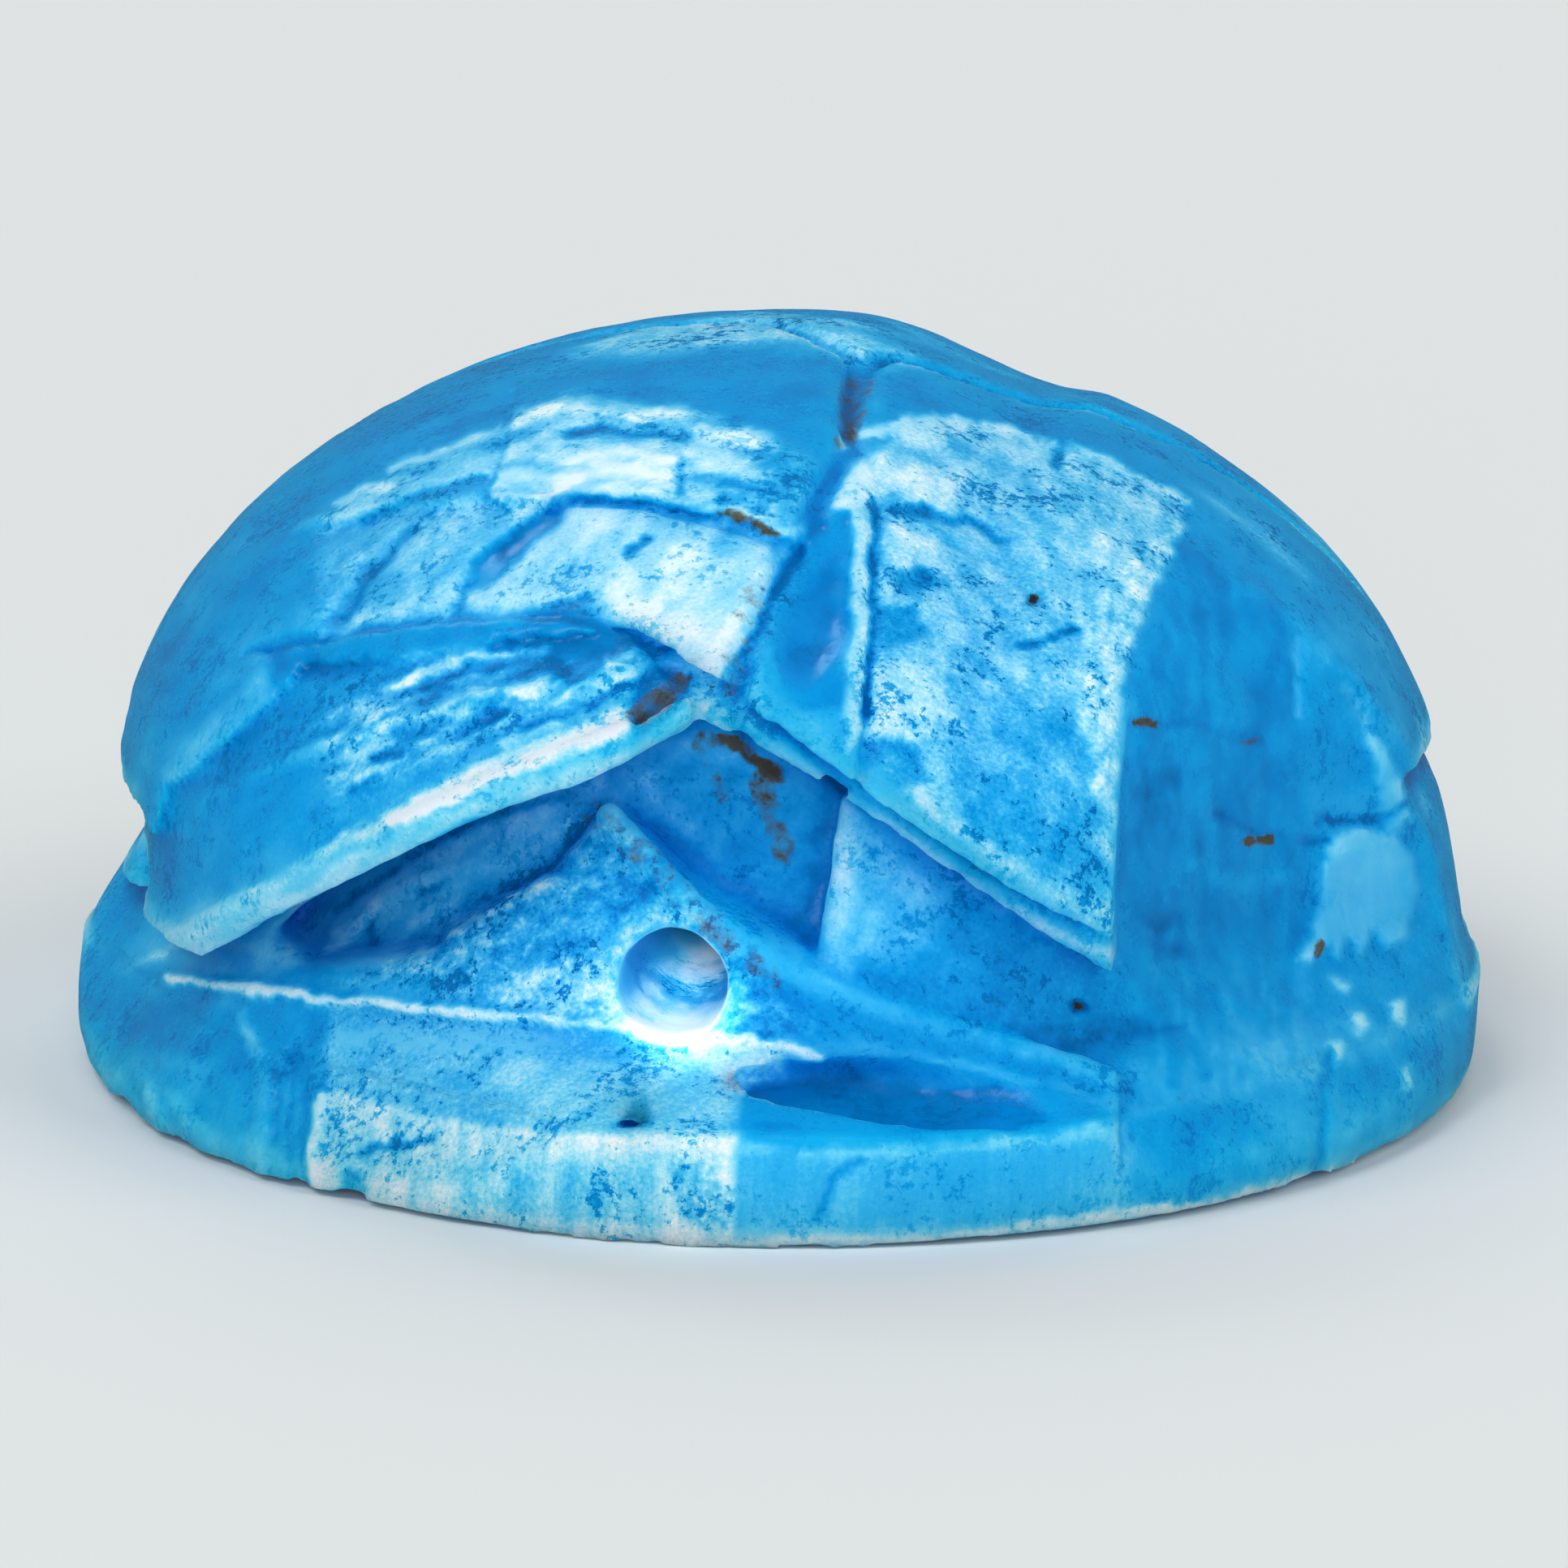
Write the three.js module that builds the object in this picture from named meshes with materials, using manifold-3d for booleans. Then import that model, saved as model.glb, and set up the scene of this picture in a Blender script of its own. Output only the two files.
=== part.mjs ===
// A scarab amulet carved from one piece of translucent sky-blue stone, worn and flaked.
// Millimetres, +Z up. The origin is the middle of the flat underside, the tail points to -Y and the head to +Y.
import * as THREE from "three";
import { mergeVertices } from "three/addons/utils/BufferGeometryUtils.js";
import Module from "manifold-3d";

// Overall sizes of the amulet.
const WIDTH = 13.0;
const LENGTH = 17.5;
const HEIGHT = 6.8;

// The oval plinth under the beetle: its lower edge is worn round at the two sides.
const PLINTH_TOP = 1.0;
const PLINTH_WORN_SIDES = 0.98;
const PLINTH_WEAR_HEIGHT = 0.45;

// The back of the beetle: an oval dome that overhangs the legs all round.
const BACK_HALF_WIDTH = 6.12;
const BACK_HALF_LENGTH = 8.25;
const BACK_UNDERSIDE = 2.5;
const BACK_WIDEST = 2.65;
const BACK_PLAN_POWER = 2.0;
const BACK_RISE_POWER = 1.9;
const BACK_RINGS = 13;
const BACK_SAG = 0.3;
const BACK_SAG_RECOVERY = 0.1;
const BACK_SHIFT = -0.04;
const OVAL_SEGMENTS = 72;

// How far the left hind leg lies inside the face of the back.
const LEFT_LEG_INSET = 0.12;

// Under the back the carving has three depths: the legs, the body between them, and the hollows.
// Each is [share of the plinth's half width, height], and all lean a little to the right in mid height.
const LEG_PROFILE = [[0.995, 1.0], [0.885, 2.75], [0.81, 4.4], [0.7, 5.1]];
const BODY_PROFILE = [[0.995, 1.0], [0.875, 1.5], [0.82, 2.75], [0.76, 4.3], [0.68, 4.9]];
const HOLLOW_PROFILE = [[0.9, 1.0], [0.78, 1.6], [0.73, 2.75], [0.69, 4.3], [0.6, 4.9]];
const LEAN_X = 0.24;
const LEAN_HEIGHT = 2.75;

// The threading hole runs the whole length of the amulet, a little left of its middle.
const BORE_DIAMETER = 1.0;
const BORE_X = -0.35;
const BORE_Z = 2.05;

const wasm = await Module();
wasm.setup();

// A closed geometry as a solid that can be joined and cut.
function solidOf(geometry) {
  const bare = geometry.clone();
  bare.deleteAttribute("normal");
  bare.deleteAttribute("uv");
  const merged = mergeVertices(bare, 1e-4);
  const index = merged.index.array;
  const kept = [];
  for (let i = 0; i < index.length; i += 3) {
    const [a, b, c] = index.slice(i, i + 3);
    if (a !== b && b !== c && c !== a) kept.push(a, b, c);
  }
  return new wasm.Manifold(
    new wasm.Mesh({
      numProp: 3,
      vertProperties: merged.attributes.position.array,
      triVerts: new Uint32Array(kept),
    }),
  );
}

// A solid back as a geometry with flat faces.
function geometryOf(solid) {
  const mesh = solid.getMesh();
  const geometry = new THREE.BufferGeometry();
  geometry.setAttribute("position", new THREE.BufferAttribute(mesh.vertProperties, 3));
  geometry.setIndex(new THREE.BufferAttribute(mesh.triVerts, 1));
  return geometry;
}

// Moves every vertex of a geometry to where the function puts it.
function reshape(geometry, move) {
  const position = geometry.attributes.position;
  const point = new THREE.Vector3();
  for (let i = 0; i < position.count; i++) {
    move(point.fromBufferAttribute(position, i));
    position.setXYZ(i, point.x, point.y, point.z);
  }
  return geometry;
}

// An oval turned body: the profile lists [share of the half width, height] from the bottom up.
function oval(profile, halfWidth, halfLength) {
  const points = profile.map(([share, z]) => new THREE.Vector2(share, z));
  const bottom = new THREE.Vector2(0, points[0].y);
  const top = new THREE.Vector2(0, points[points.length - 1].y);
  if (points[points.length - 1].x > 0) points.push(top);
  const turned = new THREE.LatheGeometry([bottom, ...points], OVAL_SEGMENTS);
  return turned.rotateX(Math.PI / 2).scale(halfWidth, halfLength, 1);
}

// A block whose outline is drawn in X and Z, as seen from the tail, and which runs along Y.
function alongY(outline, from, to) {
  const shape = new THREE.Shape(outline.map(([x, z]) => new THREE.Vector2(x, z)));
  const block = new THREE.ExtrudeGeometry(shape, { depth: to - from, bevelEnabled: false });
  return block.rotateX(Math.PI / 2).translate(0, to, 0);
}

// A block whose outline is drawn in Y and Z, as seen from the right, and which runs along X.
function alongX(outline, from, to) {
  const shape = new THREE.Shape(outline.map(([y, z]) => new THREE.Vector2(y, z)));
  const block = new THREE.ExtrudeGeometry(shape, { depth: to - from, bevelEnabled: false });
  return block.rotateX(Math.PI / 2).rotateZ(Math.PI / 2).translate(from, 0, 0);
}

// A block whose outline is drawn in X and Y, as seen from above, and which runs along Z.
function alongZ(shape, from, to, steps) {
  const settings = { depth: to - from, bevelEnabled: false, steps };
  return new THREE.ExtrudeGeometry(shape, settings).translate(0, 0, from);
}

// A six-sided rod along a list of points, to cut a groove or to raise a ridge.
function rod(points, radius) {
  const circle = new THREE.Shape();
  circle.absarc(0, 0, radius, 0, Math.PI * 2);
  const path = new THREE.CatmullRomCurve3(points);
  const steps = Math.max(6, Math.round(path.getLength() / 0.45));
  const settings = { extrudePath: path, steps, curveSegments: 3, bevelEnabled: false };
  return new THREE.ExtrudeGeometry(circle, settings);
}

// A ball stretched along the three axes, turned about X and set at a point.
function bowl(halfX, halfY, halfZ, tiltX, centre) {
  return new THREE.SphereGeometry(1, 20, 12).scale(halfX, halfY, halfZ).rotateX(tiltX).translate(...centre);
}

// Height of the back at a share of its half width.
function backHeight(share) {
  const rise = Math.max(0, 1 - share ** BACK_PLAN_POWER) ** (1 / BACK_RISE_POWER);
  return BACK_WIDEST + (HEIGHT - BACK_WIDEST) * rise;
}

// How far the back sinks to the right of its middle. A little of it comes back in a step further right.
function sag(x) {
  const { smoothstep } = THREE.MathUtils;
  return BACK_SAG * smoothstep(x, 0.3, 2.2) - BACK_SAG_RECOVERY * smoothstep(x, 2.2, 2.8);
}

// A point on the back seen from above.
function onBack([x, y]) {
  const share = Math.hypot(x / BACK_HALF_WIDTH, y / BACK_HALF_LENGTH);
  return new THREE.Vector3(x, y, backHeight(share) - sag(x));
}

// How far the mass under the back leans to the right at a height.
function lean(z) {
  const { smoothstep } = THREE.MathUtils;
  return LEAN_X * smoothstep(z, PLINTH_TOP, LEAN_HEIGHT) * (1 - smoothstep(z, LEAN_HEIGHT, 4.0));
}

// A point at the tail on one of the carving's depths, seen from behind.
function onTail([x, z], profile) {
  const next = profile.findIndex(([, height]) => height > z);
  const [shareBelow, zBelow] = profile[next - 1];
  const [shareAbove, zAbove] = profile[next];
  const share = THREE.MathUtils.mapLinear(z, zBelow, zAbove, shareBelow, shareAbove);
  const across = (x - lean(z)) / (WIDTH / 2);
  return new THREE.Vector3(x, (-LENGTH / 2) * Math.sqrt(share ** 2 - across ** 2), z);
}

// A point at the tail on the left hind leg, which follows the back, seen from behind.
function onLeftLeg([x, z]) {
  const rise = Math.max(0, (z - BACK_WIDEST) / (HEIGHT - BACK_WIDEST));
  const share = (1 - rise ** BACK_RISE_POWER) ** (1 / BACK_PLAN_POWER);
  const across = (x - BACK_SHIFT) / (BACK_HALF_WIDTH - LEFT_LEG_INSET);
  const along = Math.sqrt(Math.max(0, share ** 2 - across ** 2));
  return new THREE.Vector3(x, (LEFT_LEG_INSET - BACK_HALF_LENGTH) * along, z);
}

// The legs and the body under the back follow its sag and lean to the right in mid height.
function carve(profile) {
  const turned = oval(profile, WIDTH / 2, LENGTH / 2);
  const moved = reshape(turned, (point) => {
    point.x += lean(point.z);
    if (point.z > LEAN_HEIGHT) point.z -= sag(point.x);
  });
  return solidOf(moved);
}

// The plinth: an upright wall all round.
function plinth() {
  const profile = [[1, 0], [1, PLINTH_WEAR_HEIGHT / 3], [1, PLINTH_WEAR_HEIGHT], [1, PLINTH_TOP]];
  const wall = oval(profile, WIDTH / 2, LENGTH / 2);
  const worn = reshape(wall, (point) => {
    const wear = 1 - Math.min(1, point.z / PLINTH_WEAR_HEIGHT);
    point.x *= 1 - (1 - PLINTH_WORN_SIDES) * wear ** 2;
  });
  return solidOf(worn);
}

// The dome of the back on a foot of the given profile, drawn in by an inset all round.
function dome(foot, inset) {
  const profile = [...foot];
  for (let i = 0; i < BACK_RINGS; i++) {
    const share = Math.cos(((i / BACK_RINGS) * Math.PI) / 2) ** (2 / BACK_PLAN_POWER);
    profile.push([share, backHeight(share) - (inset * i) / BACK_RINGS]);
  }
  profile.push([0, HEIGHT - inset]);
  const turned = oval(profile, BACK_HALF_WIDTH - inset, BACK_HALF_LENGTH - inset);
  const sunk = reshape(turned, (point) => {
    const room = point.z - BACK_UNDERSIDE - 0.1;
    if (room > 0) point.z -= Math.min(sag(point.x), 0.9 * room);
    point.x += BACK_SHIFT;
  });
  return solidOf(sunk);
}

// The back is open below the wing cases at the tail, where the hind legs fold up to a point.
function back() {
  const underWings = [
    [-5.5, 2.0], [-5.3, 3.0], [-3.9, 4.35], [-2.0, 4.85], [-0.9, 5.0], [-0.2, 4.75],
    [0.3, 4.5], [0.75, 4.2], [1.2, 3.95], [2.6, 3.05], [3.7, 2.4], [4.4, 2.0],
  ];
  const brokenRim = [[4.9, 2.3], [7.0, 2.3], [7.0, 3.3], [5.8, 3.1]];
  const leftRim = [[-7.0, 2.3], [-5.5, 2.3], [-5.6, 2.63], [-7.0, 2.63]];
  return dome([[0.99, BACK_UNDERSIDE], [1.012, BACK_UNDERSIDE + 0.1]], 0)
    .subtract(solidOf(alongY(underWings, -10, -1)))
    .subtract(solidOf(alongY(brokenRim, -9, 2.5)))
    .subtract(solidOf(alongY(leftRim, -9, 2.5)));
}

// The left hind leg lies nearly flush with the back.
function leftLeg() {
  const outline = [
    [-5.45, 1.3], [-5.65, 2.4], [-5.5, 3.1], [-4.9, 3.8], [-3.9, 4.5], [-2.0, 4.95], [-0.9, 5.05],
    [-0.3, 4.65], [-0.9, 4.1], [-2.85, 3.1], [-4.4, 2.05], [-5.2, 1.4],
  ];
  return dome([[1, 0.9]], LEFT_LEG_INSET).intersect(solidOf(alongY(outline, -10, -3)));
}

// The mass below the back, carved to its three depths.
function underBody() {
  const [legs, body, hollow] = [LEG_PROFILE, BODY_PROFILE, HOLLOW_PROFILE].map(carve);
  const betweenLegs = [
    [-4.7, 1.0], [-5.1, 1.5], [-4.3, 2.05], [-2.85, 3.0], [-0.9, 4.0], [-0.2, 4.4],
    [0.6, 4.05], [1.15, 3.75], [2.6, 2.8], [3.6, 2.1], [4.2, 1.7], [4.2, 1.0],
  ];
  const leftHollow = [
    [-4.2, 1.8], [-2.85, 3.25], [-0.9, 4.25], [0.2, 4.45], [0.75, 4.15], [1.05, 3.75],
    [0.9, 2.35], [-0.1, 2.75], [-0.55, 3.15], [-1.0, 3.5], [-1.7, 2.75], [-2.6, 2.05], [-3.85, 1.65],
  ];
  const tailEnd = (outline) => solidOf(alongY(outline, -10, -3));
  let upper = legs.subtract(tailEnd(betweenLegs));
  const lower = body.subtract(tailEnd(leftHollow));
  const gaps = [
    [[0.4, 1.4], [1.6, 2.4], [2.9, 2.4], [2.2, 1.4]],
    [[3.6, 1.4], [4.4, 2.4], [5.6, 2.4], [6.0, 1.4]],
  ];
  const leftGap = [[-3.6, 1.4], [-1.6, 2.4], [-0.4, 2.4], [-2.2, 1.4]];
  for (const gap of gaps) upper = upper.subtract(solidOf(alongX(gap, 2, 8)));
  for (const gap of [...gaps, leftGap]) upper = upper.subtract(solidOf(alongX(gap, -8, -2)));
  return upper.add(lower).add(hollow);
}

// Bars raised at the tail: the shin and the thigh of the left hind leg, the right hind leg,
// and the rough edge that runs from the body down to the right foot.
const onLegs = (point) => onTail(point, LEG_PROFILE);
const onBody = (point) => onTail(point, BODY_PROFILE);
const TAIL_RIDGES = [
  {
    place: onLeftLeg,
    radius: 0.18,
    points: [[-5.1, 1.6], [-4.3, 2.3], [-2.85, 3.25], [-1.7, 3.85], [-0.9, 4.2], [-0.4, 4.5]],
  },
  { place: onLeftLeg, radius: 0.1, points: [[-4.9, 2.9], [-3.9, 3.65], [-2.3, 4.35], [-0.9, 4.75]] },
  { place: onLegs, radius: 0.13, points: [[0.6, 4.15], [1.15, 3.85], [2.6, 2.9], [3.6, 2.3]] },
  {
    place: onBody,
    radius: 0.14,
    points: [[-1.0, 3.45], [-0.1, 2.65], [0.95, 2.1], [2.4, 1.6], [3.5, 1.25]],
  },
];

// Grooves over the back, seen from above.
const BACK_GROOVES = [
  // The front edge of the left and the right wing case, which meet in a point behind.
  { radius: 0.1, points: [[-5.6, 1.6], [-4.0, 1.2], [-2.2, 0.9], [-0.6, 0.6], [0.2, -0.3], [0.7, -1.1]] },
  { radius: 0.1, points: [[0.7, -1.1], [1.0, -0.4], [2.2, 0.1], [3.8, 0.6], [5.6, 1.0]] },
  // The seam between the wing cases, which bends to the left, and the line that goes straight on.
  { radius: 0.11, points: [[0.7, -1.1], [0.72, -2.4], [0.78, -3.4], [0.62, -4.6], [0.45, -5.4]] },
  { radius: 0.09, points: [[0.8, -3.2], [1.1, -3.9], [1.18, -4.8], [1.25, -6.2], [1.3, -7.5]] },
  // The line across the wing cases near the tail, on the left and on the right of the seam.
  { radius: 0.1, points: [[-2.4, -4.0], [-1.7, -4.4], [-0.9, -4.8], [-0.1, -5.1], [0.45, -5.35]] },
  { radius: 0.1, points: [[1.25, -4.5], [1.9, -4.4], [2.35, -4.5]] },
  // The line that curls down from it to the tip of the tail, and the lower edge of the left wing case.
  { radius: 0.15, points: [[0.45, -5.4], [0.3, -6.2], [0.18, -6.8], [0.15, -7.2], [0.55, -7.6]] },
  { radius: 0.14, points: [[-4.6, -4.2], [-3.8, -5.0], [-2.6, -5.7], [-1.4, -6.2], [-0.6, -6.7]] },
  // The front edge of the thorax.
  { radius: 0.12, points: [[-4.4, 4.4], [-2.6, 5.3], [0, 5.7], [2.6, 5.3], [4.4, 4.4]] },
];

// The head: lower than the back in front of it, set off at both sides, with a notched front rim.
function headCuts() {
  const step = [[5.6, 8.0], [5.75, 4.95], [7.5, 4.0], [9.5, 2.9], [9.5, 8.0]];
  const notches = [
    [-3.7, 6.6, 0.32], [-2.0, 8.07, 0.22], [-0.7, 8.23, 0.22],
    [0.7, 8.23, 0.22], [2.0, 8.07, 0.22], [3.7, 6.6, 0.32],
  ];
  const cuts = notches.map(([x, y, radius]) => {
    const notch = new THREE.CylinderGeometry(radius, radius, 3, 6).rotateX(Math.PI / 2);
    return solidOf(notch.translate(x, y, 3.2));
  });
  return [solidOf(alongX(step, -8, 8)), ...cuts];
}

// Flat facets broken off the plinth's left corner: the way each faces and how far out it stands.
const LEFT_FACETS = [
  { angle: 201.7, reach: 6.85 },
  { angle: 216.9, reach: 7.38 },
  { angle: 230.3, reach: 7.78 },
];

// Losses: the large flake off the right flank, the shell-shaped chip beside the seam, the hollow over
// the ledge, the facets broken off the plinth's left corner and the small breaks along the lower edge.
function losses() {
  const edge = new THREE.QuadraticBezierCurve(
    new THREE.Vector2(3.55, -5.75),
    new THREE.Vector2(4.5, -3.6),
    new THREE.Vector2(6.15, -0.9),
  );
  const corners = [[9, -0.9], [9, -9.5], [3.55, -9.5]].map(([x, y]) => new THREE.Vector2(x, y));
  const flank = new THREE.Shape([...edge.getPoints(7), ...corners]);
  const flake = reshape(alongZ(flank, 0.25, 5.62, 10), (point) => {
    // Its wall leans in over the back, and lower down it runs out to the face of the plinth.
    const over = Math.max(0, point.z - 3.4);
    const share = Math.hypot(point.x / (WIDTH / 2), point.y / (LENGTH / 2));
    if (share < 1) {
      const outward = 1 - THREE.MathUtils.smoothstep(point.z, 0.25, 2.3);
      const stretch = 1 + outward * (1 / share - 1);
      point.x *= stretch;
      point.y *= stretch;
    }
    point.y += 0.6 * over ** 2.2;
    point.x += 0.04 * over;
  });
  const facets = LEFT_FACETS.map(({ angle, reach }) => {
    const outline = [[reach + 0.3, -0.15], [reach - 1.01, 1.6], [reach + 3, 1.6], [reach + 3, -0.15]];
    return solidOf(alongY(outline, -4, 4).rotateZ(THREE.MathUtils.degToRad(angle)));
  });
  return [
    solidOf(flake),
    ...facets,
    solidOf(bowl(0.4, 1.35, 0.32, 0.52, [0.72, -6.0, 5.48])),
    solidOf(bowl(1.85, 0.6, 0.3, 0, [2.0, -7.75, 1.28])),
    solidOf(bowl(0.22, 0.8, 0.2, 0, [6.5, -2.2, 0.0])),
    solidOf(bowl(0.6, 0.5, 0.2, 0, [-5.9, -4.3, 0.0])),
  ];
}

// The whole amulet as one solid.
function scarab() {
  let solid = plinth().add(underBody()).add(leftLeg()).add(back());
  for (const { place, radius, points } of TAIL_RIDGES) {
    solid = solid.add(solidOf(rod(points.map(place), radius)));
  }
  for (const { radius, points } of BACK_GROOVES) {
    solid = solid.subtract(solidOf(rod(points.map(onBack), radius)));
  }
  for (const cut of [...headCuts(), ...losses()]) solid = solid.subtract(cut);
  const bore = new THREE.CylinderGeometry(BORE_DIAMETER / 2, BORE_DIAMETER / 2, LENGTH + 2, 20);
  return solid.subtract(solidOf(bore.translate(BORE_X, 0, BORE_Z)));
}

const blueStone = new THREE.MeshStandardMaterial({
  name: "sky_blue_stone",
  color: 0x2fa4e2,
  roughness: 0.32,
  metalness: 0,
  flatShading: true,
});

const amulet = new THREE.Group();
amulet.name = "scarab_amulet";
const mesh = new THREE.Mesh(geometryOf(scarab()), blueStone);
mesh.name = "scarab";
amulet.add(mesh);

export default amulet;
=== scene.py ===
import bpy
import numpy as np
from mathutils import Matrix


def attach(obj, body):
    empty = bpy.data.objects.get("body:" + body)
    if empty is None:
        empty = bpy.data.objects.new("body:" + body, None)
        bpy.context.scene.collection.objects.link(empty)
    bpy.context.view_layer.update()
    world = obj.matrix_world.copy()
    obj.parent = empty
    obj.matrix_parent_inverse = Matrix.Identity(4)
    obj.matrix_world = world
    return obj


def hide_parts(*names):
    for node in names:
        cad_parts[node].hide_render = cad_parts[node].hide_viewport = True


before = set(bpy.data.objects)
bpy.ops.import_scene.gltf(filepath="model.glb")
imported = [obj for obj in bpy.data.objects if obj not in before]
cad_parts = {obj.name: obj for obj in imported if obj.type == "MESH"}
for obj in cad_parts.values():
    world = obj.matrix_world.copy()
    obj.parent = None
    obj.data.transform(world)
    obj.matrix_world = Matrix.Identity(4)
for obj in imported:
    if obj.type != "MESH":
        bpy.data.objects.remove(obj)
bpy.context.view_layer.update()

import openvdb
from math import cos, radians, sin
from mathutils import Matrix, Vector, noise

# Camera
# The picture is taken from behind the tail, about ten degrees above the table and five to the right,
# with the camera rolled a little. Distances are in metres, and the picture is 1932 pixels wide.
VIEW_AZIMUTH = radians(4.8)
VIEW_ELEVATION = radians(10.4)
VIEW_ROLL = radians(1.6)
VIEW_DISTANCE = 0.140
PIXELS_PER_METRE = 132500
PICTURE_WIDTH = 1932
SENSOR_WIDTH = 36
TARGET = Vector((0, 0, 0.0032))
TARGET_IN_PICTURE = (972, 877)
back_axis = Vector((
    sin(VIEW_AZIMUTH) * cos(VIEW_ELEVATION),
    -cos(VIEW_AZIMUTH) * cos(VIEW_ELEVATION),
    sin(VIEW_ELEVATION),
))
level_right = Vector((cos(VIEW_AZIMUTH), sin(VIEW_AZIMUTH), 0))
level_up = back_axis.cross(level_right)
right_axis = level_right * cos(VIEW_ROLL) + level_up * sin(VIEW_ROLL)
up_axis = level_up * cos(VIEW_ROLL) - level_right * sin(VIEW_ROLL)
eye = TARGET + back_axis * VIEW_DISTANCE
middle = PICTURE_WIDTH / 2
off_right = (TARGET_IN_PICTURE[0] - middle) / PIXELS_PER_METRE
off_up = (middle - TARGET_IN_PICTURE[1]) / PIXELS_PER_METRE
look = (back_axis * VIEW_DISTANCE + right_axis * off_right + up_axis * off_up).normalized()
side = up_axis.cross(look).normalized()
camera_data = bpy.data.cameras.new("camera")
camera_data.sensor_width = SENSOR_WIDTH
camera_data.lens = SENSOR_WIDTH * VIEW_DISTANCE * PIXELS_PER_METRE / PICTURE_WIDTH
camera_data.clip_start = 0.005
camera_data.clip_end = 10
camera = bpy.data.objects.new("camera", camera_data)
turn = Matrix((side, look.cross(side), look)).transposed().to_4x4()
camera.matrix_world = Matrix.Translation(eye) @ turn
bpy.context.scene.collection.objects.link(camera)
bpy.context.scene.camera = camera
bpy.context.scene.view_settings.view_transform = "Standard"

# The amulet's shape
# A beetle cut from one small block of translucent blue stone: ground to shape with stone tools
# and sand, bored lengthwise for a thread, polished by wear and flaked by knocks. Its shape is
# worked out in millimetres on a grid of distances, which are negative inside the stone.
# The grid is finest at the tail.
WIDTH_STEP, TAIL_STEP, HEAD_STEP, HEIGHT_STEP = 0.062, 0.055, 0.13, 0.055
axis_x = np.arange(-6.75, 6.76, WIDTH_STEP, dtype=np.float32)
axis_y = np.concatenate([
    np.arange(-9.0, -3.0, TAIL_STEP, dtype=np.float32),
    np.arange(-3.0, 9.0, HEAD_STEP, dtype=np.float32),
])
axis_z = np.arange(-0.2, 7.0, HEIGHT_STEP, dtype=np.float32)
X, Y, Z = axis_x[:, None, None], axis_y[None, :, None], axis_z[None, None, :]


def smoothstep(value, start, end):
    """0 before the start and 1 after the end, with an easy rise between them."""
    share = np.clip((value - start) / (end - start), 0, 1)
    return share * share * (3 - 2 * share)


def join(a, b, fillet):
    """Two bodies as one, with a fillet in the corner between them."""
    share = np.clip(0.5 + 0.5 * (b - a) / fillet, 0, 1)
    return b + (a - b) * share - fillet * share * (1 - share)


def cut(a, b, wear):
    """The first body without the second, with its new edges worn round."""
    return -join(-a, b, wear)


SAG, SAG_REGAINED = 0.3, 0.1
LEAN = 0.24


def sag(x):
    """How far the back sinks to the right of its middle. A little is regained further right."""
    return SAG * smoothstep(x, 0.3, 2.2) - SAG_REGAINED * smoothstep(x, 2.2, 2.8)


def lean(z):
    """The mass under the back leans to the right in mid height."""
    return LEAN * smoothstep(z, 1.0, 2.75) * (1 - smoothstep(z, 2.75, 4.0))


def oval_body(profile, half_width, half_length, x, y, z):
    """An oval turned body. Its profile lists the share of the half width and the height."""
    shares, heights = zip(*profile)
    share = np.interp(z, heights, shares).astype(np.float32)
    reach = np.hypot(x / half_width, y / half_length) + 1e-6
    slope = np.hypot(x / half_width**2, y / half_length**2) / reach
    wall = (reach - share) / slope
    return np.maximum(wall, np.maximum(heights[0] - z, z - heights[-1]))


def outline_distance(outline, u, v):
    """Signed distance to a closed outline in the plane, negative inside it."""
    u, v = np.broadcast_arrays(u, v)
    best = np.full(u.shape, 1e9, np.float32)
    inside = np.zeros(u.shape, bool)
    for (u0, v0), (u1, v1) in zip(outline, outline[1:] + outline[:1]):
        du, dv = u1 - u0, v1 - v0
        along = np.clip(((u - u0) * du + (v - v0) * dv) / (du * du + dv * dv), 0, 1)
        best = np.minimum(best, np.hypot(u - u0 - along * du, v - v0 - along * dv))
        if dv:
            inside ^= ((v0 > v) != (v1 > v)) & (u < du * (v - v0) / dv + u0)
    return np.where(inside, -best, best)


def through_tail(outline, front=-3.0):
    """A cutter whose outline is drawn in X and Z, as seen from the tail."""
    return np.maximum(outline_distance(outline, X, Z), Y - front)


def through_side(outline, sign):
    """A cutter whose outline is drawn in Y and Z, from one side to 2 mm off the middle."""
    return np.maximum(outline_distance(outline, Y, Z), 2 - sign * X)


def bowl(centre, half_sizes, tilt):
    """A stretched ball, turned about the X axis."""
    x, y, z = X - centre[0], Y - centre[1], Z - centre[2]
    along, across = y * cos(tilt) + z * sin(tilt), z * cos(tilt) - y * sin(tilt)
    a, b, c = half_sizes
    return (np.sqrt((x / a) ** 2 + (along / b) ** 2 + (across / c) ** 2) - 1) * min(half_sizes)


def curve(points, spacing):
    """A smooth curve through the points, as points about one spacing apart."""
    p = np.array(points, float)
    p = np.vstack([2 * p[0] - p[1], p, 2 * p[-1] - p[-2]])
    places = []
    for a, b, c, d in zip(p, p[1:], p[2:], p[3:]):
        count = max(2, int(np.linalg.norm(c - b) / spacing))
        for t in np.arange(count) / count:
            bend = (2 * a - 5 * b + 4 * c - d) * t**2 + (3 * b - a - 3 * c + d) * t**3
            places.append(b + 0.5 * ((c - a) * t + bend))
    return np.array(places + [p[-2]])


def near(places, reach):
    """The part of the grid within reach of the places: its slices and its X, Y and Z."""
    window = []
    for axis, low, high in zip((axis_x, axis_y, axis_z), places.min(0), places.max(0)):
        first, last = np.searchsorted(axis, (low - reach, high + reach))
        window.append(slice(max(first - 1, 0), last + 1))
    return tuple(window), X[window[0]], Y[:, window[1]], Z[:, :, window[2]]


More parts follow.
